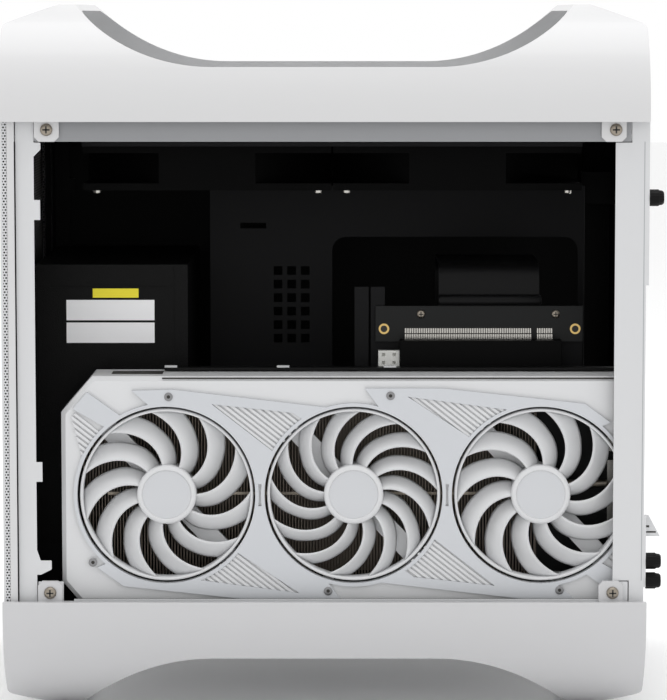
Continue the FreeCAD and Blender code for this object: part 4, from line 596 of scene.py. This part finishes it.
def clipped(corners, normal, limit):
    """Part of a convex outline on the lower side of a line."""
    kept = []
    for a, b in zip(corners, corners[1:] + corners[:1]):
        da = a.dot(normal) - limit
        db = b.dot(normal) - limit
        if da <= 0:
            kept.append(a)
        if da * db < 0:
            kept.append(a.lerp(b, da / (da - db)))
    return kept


def field_ribs(corners, sign):
    """Outlines of the ribs between those of the solid, cut to one field."""
    outline = [Vector((sign * u, sign * w)) for u, w in corners]
    us = [c.x for c in outline]
    ws = [c.y for c in outline]
    middle = Vector(((min(us) + max(us)) / 2, (min(ws) + max(ws)) / 2))
    across = Vector((-math.sin(RIB_ANGLE), math.cos(RIB_ANGLE)))
    ribs = []
    for k in range(-RIB_MOST, RIB_MOST):
        low = middle.dot(across) + (k + 0.5) * RIB_PITCH
        strip = clipped(clipped(outline, across, low + RIB_W), -across, -low)
        if len(strip) > 2:
            ribs.append(strip)
    return ribs


def shroud_ribs():
    """Ribs of all fields as one piece."""
    verts = []
    faces = []
    for sign in (1, -1):
        for corners in FIELDS:
            for strip in field_ribs(corners, sign):
                count = len(strip)
                first = len(verts)
                for y in (RIB_FRONT, RIB_BACK):
                    verts += [(FAN_XS[1] + c.x, y, FAN_Z + c.y) for c in strip]
                faces.append(tuple(range(first, first + count)))
                for i in range(count):
                    j = (i + 1) % count
                    faces.append((first + i, first + count + i, first + count + j, first + j))
    piece("shroud_ribs", verts, faces, shroud_white, "case", smooth=False)


shroud_ribs()


SEAM_DOWN = 0.5         # joint line below the card's top edge
SEAM_H = 0.9
TOP_SLOT_L = 29.0       # slot in the card's top, ahead of the bar
TOP_SLOT_GAP = 0.5
TOP_SLOT_IN = 14.0
TOP_SLOT_W = 16.0


def shroud_seam():
    """Dark joint line under the card's top edge, and the slot in its top before the bar in painted shade."""
    front = span("gpu_top_bar")[0].x
    top = SHROUD_HIGH.z - SEAM_DOWN
    slot_y = SHROUD_LOW.y + TOP_SLOT_IN
    seam = (front, SHROUD_HIGH.x, RIB_BACK - 0.08, RIB_BACK + 0.3, top - SEAM_H, top)
    slot = (front - TOP_SLOT_L, front - TOP_SLOT_GAP, slot_y, slot_y + TOP_SLOT_W, SHROUD_HIGH.z - 0.3,
            SHROUD_HIGH.z + 0.05)
    boxes("shroud_seam", [seam, slot], recess_shade_and_joint_black, "case")


shroud_seam()


# Screws

def screws(name, places, axis, radius, height):
    """Pan heads with a cross recess in painted shade, facing along Y."""
    dome = [(radius, 0), (radius, height * 0.35), (radius * 0.86, height * 0.75), (radius * 0.55, height),
            (radius * 0.2, height * 1.05)]
    turned(name, dome, 32, places, axis, nickel, "case", angle=60)
    spans = []
    long = radius * 0.58
    thin = radius * 0.13
    tip = 1.06 * height
    for x, y, z in places:
        ends = sorted((y + axis[1] * height * 0.3, y + axis[1] * tip))
        for a, b in ((long, thin), (thin, long)):
            spans.append((x - a, x + a, ends[0], ends[1], z - b, z + b))
    # painted shade in the cross recesses
    boxes(name + "_cross", spans, recess_shade_and_joint_black, "case")


SHELL_LOW, SHELL_HIGH = span("top_shell")
TAB_PROUD = 2.0         # shells' tabs outside the frame
SCREW_FRONT_IN = 26.0   # shell screws from the shell's front and rear ends
SCREW_REAR_IN = 18.4
SCREW_EDGE = 6.6        # and from the edges of the shells' tabs
SCREW_R = 3.4
SCREW_H = 1.9
TAB_FACE = span("front_plate")[1].y + TAB_PROUD
SCREW_XS = (SHELL_LOW.x + SCREW_FRONT_IN, SHELL_HIGH.x - SCREW_REAR_IN)
SCREW_ZS = (span("bottom_shell")[1].z - SCREW_EDGE, SHELL_LOW.z + SCREW_EDGE)
for side, sign in (("left", -1), ("right", 1)):
    places = [(x, sign * TAB_FACE, z) for x in SCREW_XS for z in SCREW_ZS]
    screws("shell_screws_" + side, places, (0, sign, 0), SCREW_R, SCREW_H)
# Places of the shroud's screws from the middle fan's axis
SHROUD_SCREWS = ((-102.5, 54.9), (-144.9, -37.7), (20.4, 55.5), (-14.2, -53.8), (114.5, -53.3))
SHROUD_SCREW_PLACES = [(FAN_XS[1] + u, SHROUD_LOW.y, FAN_Z + w) for u, w in SHROUD_SCREWS]
SOCKET = [(2.4, 0), (2.4, 0.3), (2.1, 0.5), (1.0, 0.5), (0.9, 0.1)]
turned("shroud_screws", SOCKET, 32, SHROUD_SCREW_PLACES, (0, -1, 0), socket_grey, "case")
# painted shade in the sockets of the shroud's screws
turned("shroud_sockets", [(0.95, 0), (0.95, 0.25)], 24, SHROUD_SCREW_PLACES, (0, -1, 0), recess_shade_and_joint_black, "case")
FAN_SCREW_IN = 7.5      # screw holes from the edges of a fan's frame
FAN_SCREWS = []
for end in ("front", "rear"):
    fan_low, fan_high = span("top_fan_frame_" + end)
    FAN_SCREWS += [(x, fan_low.y + FAN_SCREW_IN, fan_low.z)
                   for x in (fan_low.x + FAN_SCREW_IN, fan_high.x - FAN_SCREW_IN)]
turned("fan_screw_tips", [(2.2, 0), (2.2, 1.6), (1.6, 2.2)], 24, FAN_SCREWS, (0, 0, -1), plated, "case")


# Thumb screws

THUMB_PITCH = 11.0      # between the two lower ones
GRIP_SHARE = 0.62       # full grip as a share of the head's length
KNURL = 0.22


def thumb_screws():
    """Knurled heads on the clamp plate and on the hem above it."""
    low, high = span("thumb_screws")
    radius = (high.y - low.y) / 2
    y = low.y + radius
    bottom = low.z + radius
    seats = ((low.x, bottom), (low.x, bottom + THUMB_PITCH), (span("rear_plate")[1].x, high.z - radius))
    for index, (seat, z) in enumerate(seats):
        reach = high.x - seat
        knob = [(radius - 0.3, 0), (radius, 0.3), (radius, reach * GRIP_SHARE), (radius - 0.5, reach * 0.7),
                (radius - 0.7, reach - 0.9), (radius - 1.5, reach), (2.4, reach), (2.2, reach - 0.7)]
        turned("thumb_screw_%d" % (index + 1), knob, 40, [(seat, y, z)], (1, 0, 0), knob_black,
                            "case", wave=KNURL)
    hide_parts("thumb_screws")


thumb_screws()


# Fine lines at the rear edge

CLAMP_T = 1.2           # sheet of the clamp plate
CLAMP_TAB_H = 12.0      # height of the tab bent out of it
SEAM_IN = 2.6           # joint line from the rear plate's outer face
SEAM_W = 0.5
LINE_PROUD = 0.05
LINE_DEEP = 0.3
TAB_SLOT_END = 2.4      # slot on the tab, from the tab's tip
TAB_SLOT_UP = (2.0, 2.9)
CATCH_L = 2.2
CATCH_UP = (5.0, 6.2)


def rear_lines():
    """Slot and catch on the clamp plate's tab in painted shade, and the joint line down the rear post."""
    low, high = span("bracket_clamp")
    face = high.y - CLAMP_T
    start = low.x + CLAMP_T
    foot = high.z - CLAMP_TAB_H
    depth = (face - LINE_PROUD, face + LINE_DEEP)
    slot_line = (start, high.x - TAB_SLOT_END, *depth, *(foot + up for up in TAB_SLOT_UP))
    catch = (start, start + CATCH_L, *depth, *(foot + up for up in CATCH_UP))
    boxes("clamp_slots", [slot_line, catch], recess_shade_and_joint_black, "case")
    low, high = span("rear_plate")
    edge = high.x - SEAM_IN
    bottom, top = span("bottom_shell")[1].z, SHELL_LOW.z
    boxes("rear_seam", [(edge - SEAM_W, edge, low.y - LINE_PROUD, low.y + LINE_DEEP, bottom, top)], seam_grey,
          "case")


rear_lines()


# Riser details

CONTACT_PITCH = 1.0
CONTACT_TIER = 2.8
KEY_GAP = (74.5, 77.1)  # gap in the contacts, from the slot's front end
CONTACT_GAP = 0.5       # between the tiers
CONTACT_FRONT_IN = 3.0  # contacts from the slot's ends
CONTACT_REAR_IN = 3.5
BOARD_SCREW_INS = (25.8, 15.4)  # board screws from its front and rear ends
BOARD_SCREW_DOWN = 4.6
BOARD_SCREW_R = 2.4
BOARD_SCREW_H = 1.4
RING_INS = (4.8, 4.3)   # ringed holes from the board's ends
RING_DOWN = 13.0        # and below its top
RING_R = 3.0
RING_HOLE_R = 1.9
RING_T = 0.15
FOLD_R = 3.2
FOLD_UP = 3.4           # ribbon's fold above the board


def riser():
    """Fine contacts in two tiers, the board's screws and ringed holes, and the ribbon's fold."""
    low, high = span("riser_board")
    slot_low, slot_high = span("riser_slot")
    foot = span("riser_pins")[0].z
    face = low.y
    count = int((slot_high.x - slot_low.x - CONTACT_FRONT_IN - CONTACT_REAR_IN) / CONTACT_PITCH)
    xs = [slot_low.x + CONTACT_FRONT_IN + k * CONTACT_PITCH for k in range(count)]
    xs = [x for x in xs if not KEY_GAP[0] < x - slot_low.x < KEY_GAP[1]]
    second = foot + CONTACT_TIER + CONTACT_GAP
    pins = [(x, x + 0.6, face - 1.6, face, foot, foot + CONTACT_TIER) for x in xs]
    pins += [(x, x + 0.5, face - 0.9, face, second, second + CONTACT_TIER) for x in xs]
    strip = boxes("riser_contacts", pins, plated, "case")
    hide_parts("riser_pins")
    screw_xs = (low.x + BOARD_SCREW_INS[0], high.x - BOARD_SCREW_INS[1])
    places = [(x, face, high.z - BOARD_SCREW_DOWN) for x in screw_xs]
    screws("riser_screws", places, (0, -1, 0), BOARD_SCREW_R, BOARD_SCREW_H)
    spots = [(x, face, high.z - RING_DOWN) for x in (low.x + RING_INS[0], high.x - RING_INS[1])]
    ring = [(RING_HOLE_R, 0), (RING_R, 0), (RING_R, RING_T), (RING_HOLE_R, RING_T), (RING_HOLE_R, 0)]
    verts, faces = [], []
    for spot in spots:
        v, f = lathe(ring, 32, spot, (0, -1, 0))
        faces += [tuple(i + len(verts) for i in quad) for quad in f[:-2]]
        verts += v
    piece("riser_rings", verts, faces, gold, "case", smooth=False)
    # painted shade in the ringed holes
    turned("riser_holes", [(RING_HOLE_R, 0), (RING_HOLE_R, 0.05)], 32, spots, (0, -1, 0), recess_shade_and_joint_black, "case")
    ribbon_low, ribbon_high = span("riser_ribbon")
    width = ribbon_high.x - ribbon_low.x
    roll = [(0.5, 0), (FOLD_R - 0.6, 0.2), (FOLD_R, 1.2), (FOLD_R, width + 0.2), (FOLD_R - 0.6, width + 1.2),
            (0.5, width + 1.4)]
    turned("ribbon_fold", roll, 32, [(ribbon_low.x - 0.2, low.y - 0.2, high.z + FOLD_UP)], (1, 0, 0),
           ribbon_black, "case")


riser()


# Floor, light and camera

CAMERA_FROM_MIDDLE = (0.0067, -1.875, 0.192)
CAMERA_DOWN = 5.34      # degrees below the level
CAMERA_LENS = 165.0
CAMERA_SHIFT = (-0.0155, -0.05)
KEY_FROM_MIDDLE = (0, -0.1, 1.9)
KEY_SIZE = (2.0, 1.6)
KEY_POWER = 20
FLOOR_HALF = 8


def area(name, spot, target, size, power):
    """Rectangular light at a spot, turned to its target."""
    data = bpy.data.lights.new(name, "AREA")
    data.shape = "RECTANGLE"
    data.size, data.size_y = size
    data.energy = power
    obj = bpy.data.objects.new(name, data)
    bpy.context.scene.collection.objects.link(obj)
    obj.location = spot
    obj.rotation_euler = (Vector(target) - Vector(spot)).to_track_quat("-Z", "Y").to_euler()


def studio():
    """White floor and world, one light above, and the photo's camera."""
    h = FLOOR_HALF
    mesh = bpy.data.meshes.new("floor")
    mesh.from_pydata([(-h, -h, 0), (h, -h, 0), (h, h, 0), (-h, h, 0)], [], [(0, 1, 2, 3)])
    floor = bpy.data.objects.new("floor", mesh)
    bpy.context.scene.collection.objects.link(floor)
    mesh.materials.append(plain("floor_white", (0.92, 0.92, 0.92), 0.7))
    world = bpy.data.worlds.new("studio")
    bpy.context.scene.world = world
    world.use_nodes = True
    back = world.node_tree.nodes["Background"]
    back.inputs["Color"].default_value = (1, 1, 1, 1)
    back.inputs["Strength"].default_value = 1.0
    area("key", CASE_MIDDLE + Vector(KEY_FROM_MIDDLE), CASE_MIDDLE, KEY_SIZE, KEY_POWER)
    scene = bpy.context.scene
    scene.view_settings.view_transform = "Standard"
    data = bpy.data.cameras.new("camera")
    data.lens = CAMERA_LENS
    data.sensor_width = 36.0
    data.shift_x, data.shift_y = CAMERA_SHIFT
    data.clip_end = 50
    cam = bpy.data.objects.new("camera", data)
    scene.collection.objects.link(cam)
    cam.location = CASE_MIDDLE + Vector(CAMERA_FROM_MIDDLE)
    cam.rotation_euler = (math.radians(90 - CAMERA_DOWN), 0, 0)
    scene.camera = cam


studio()
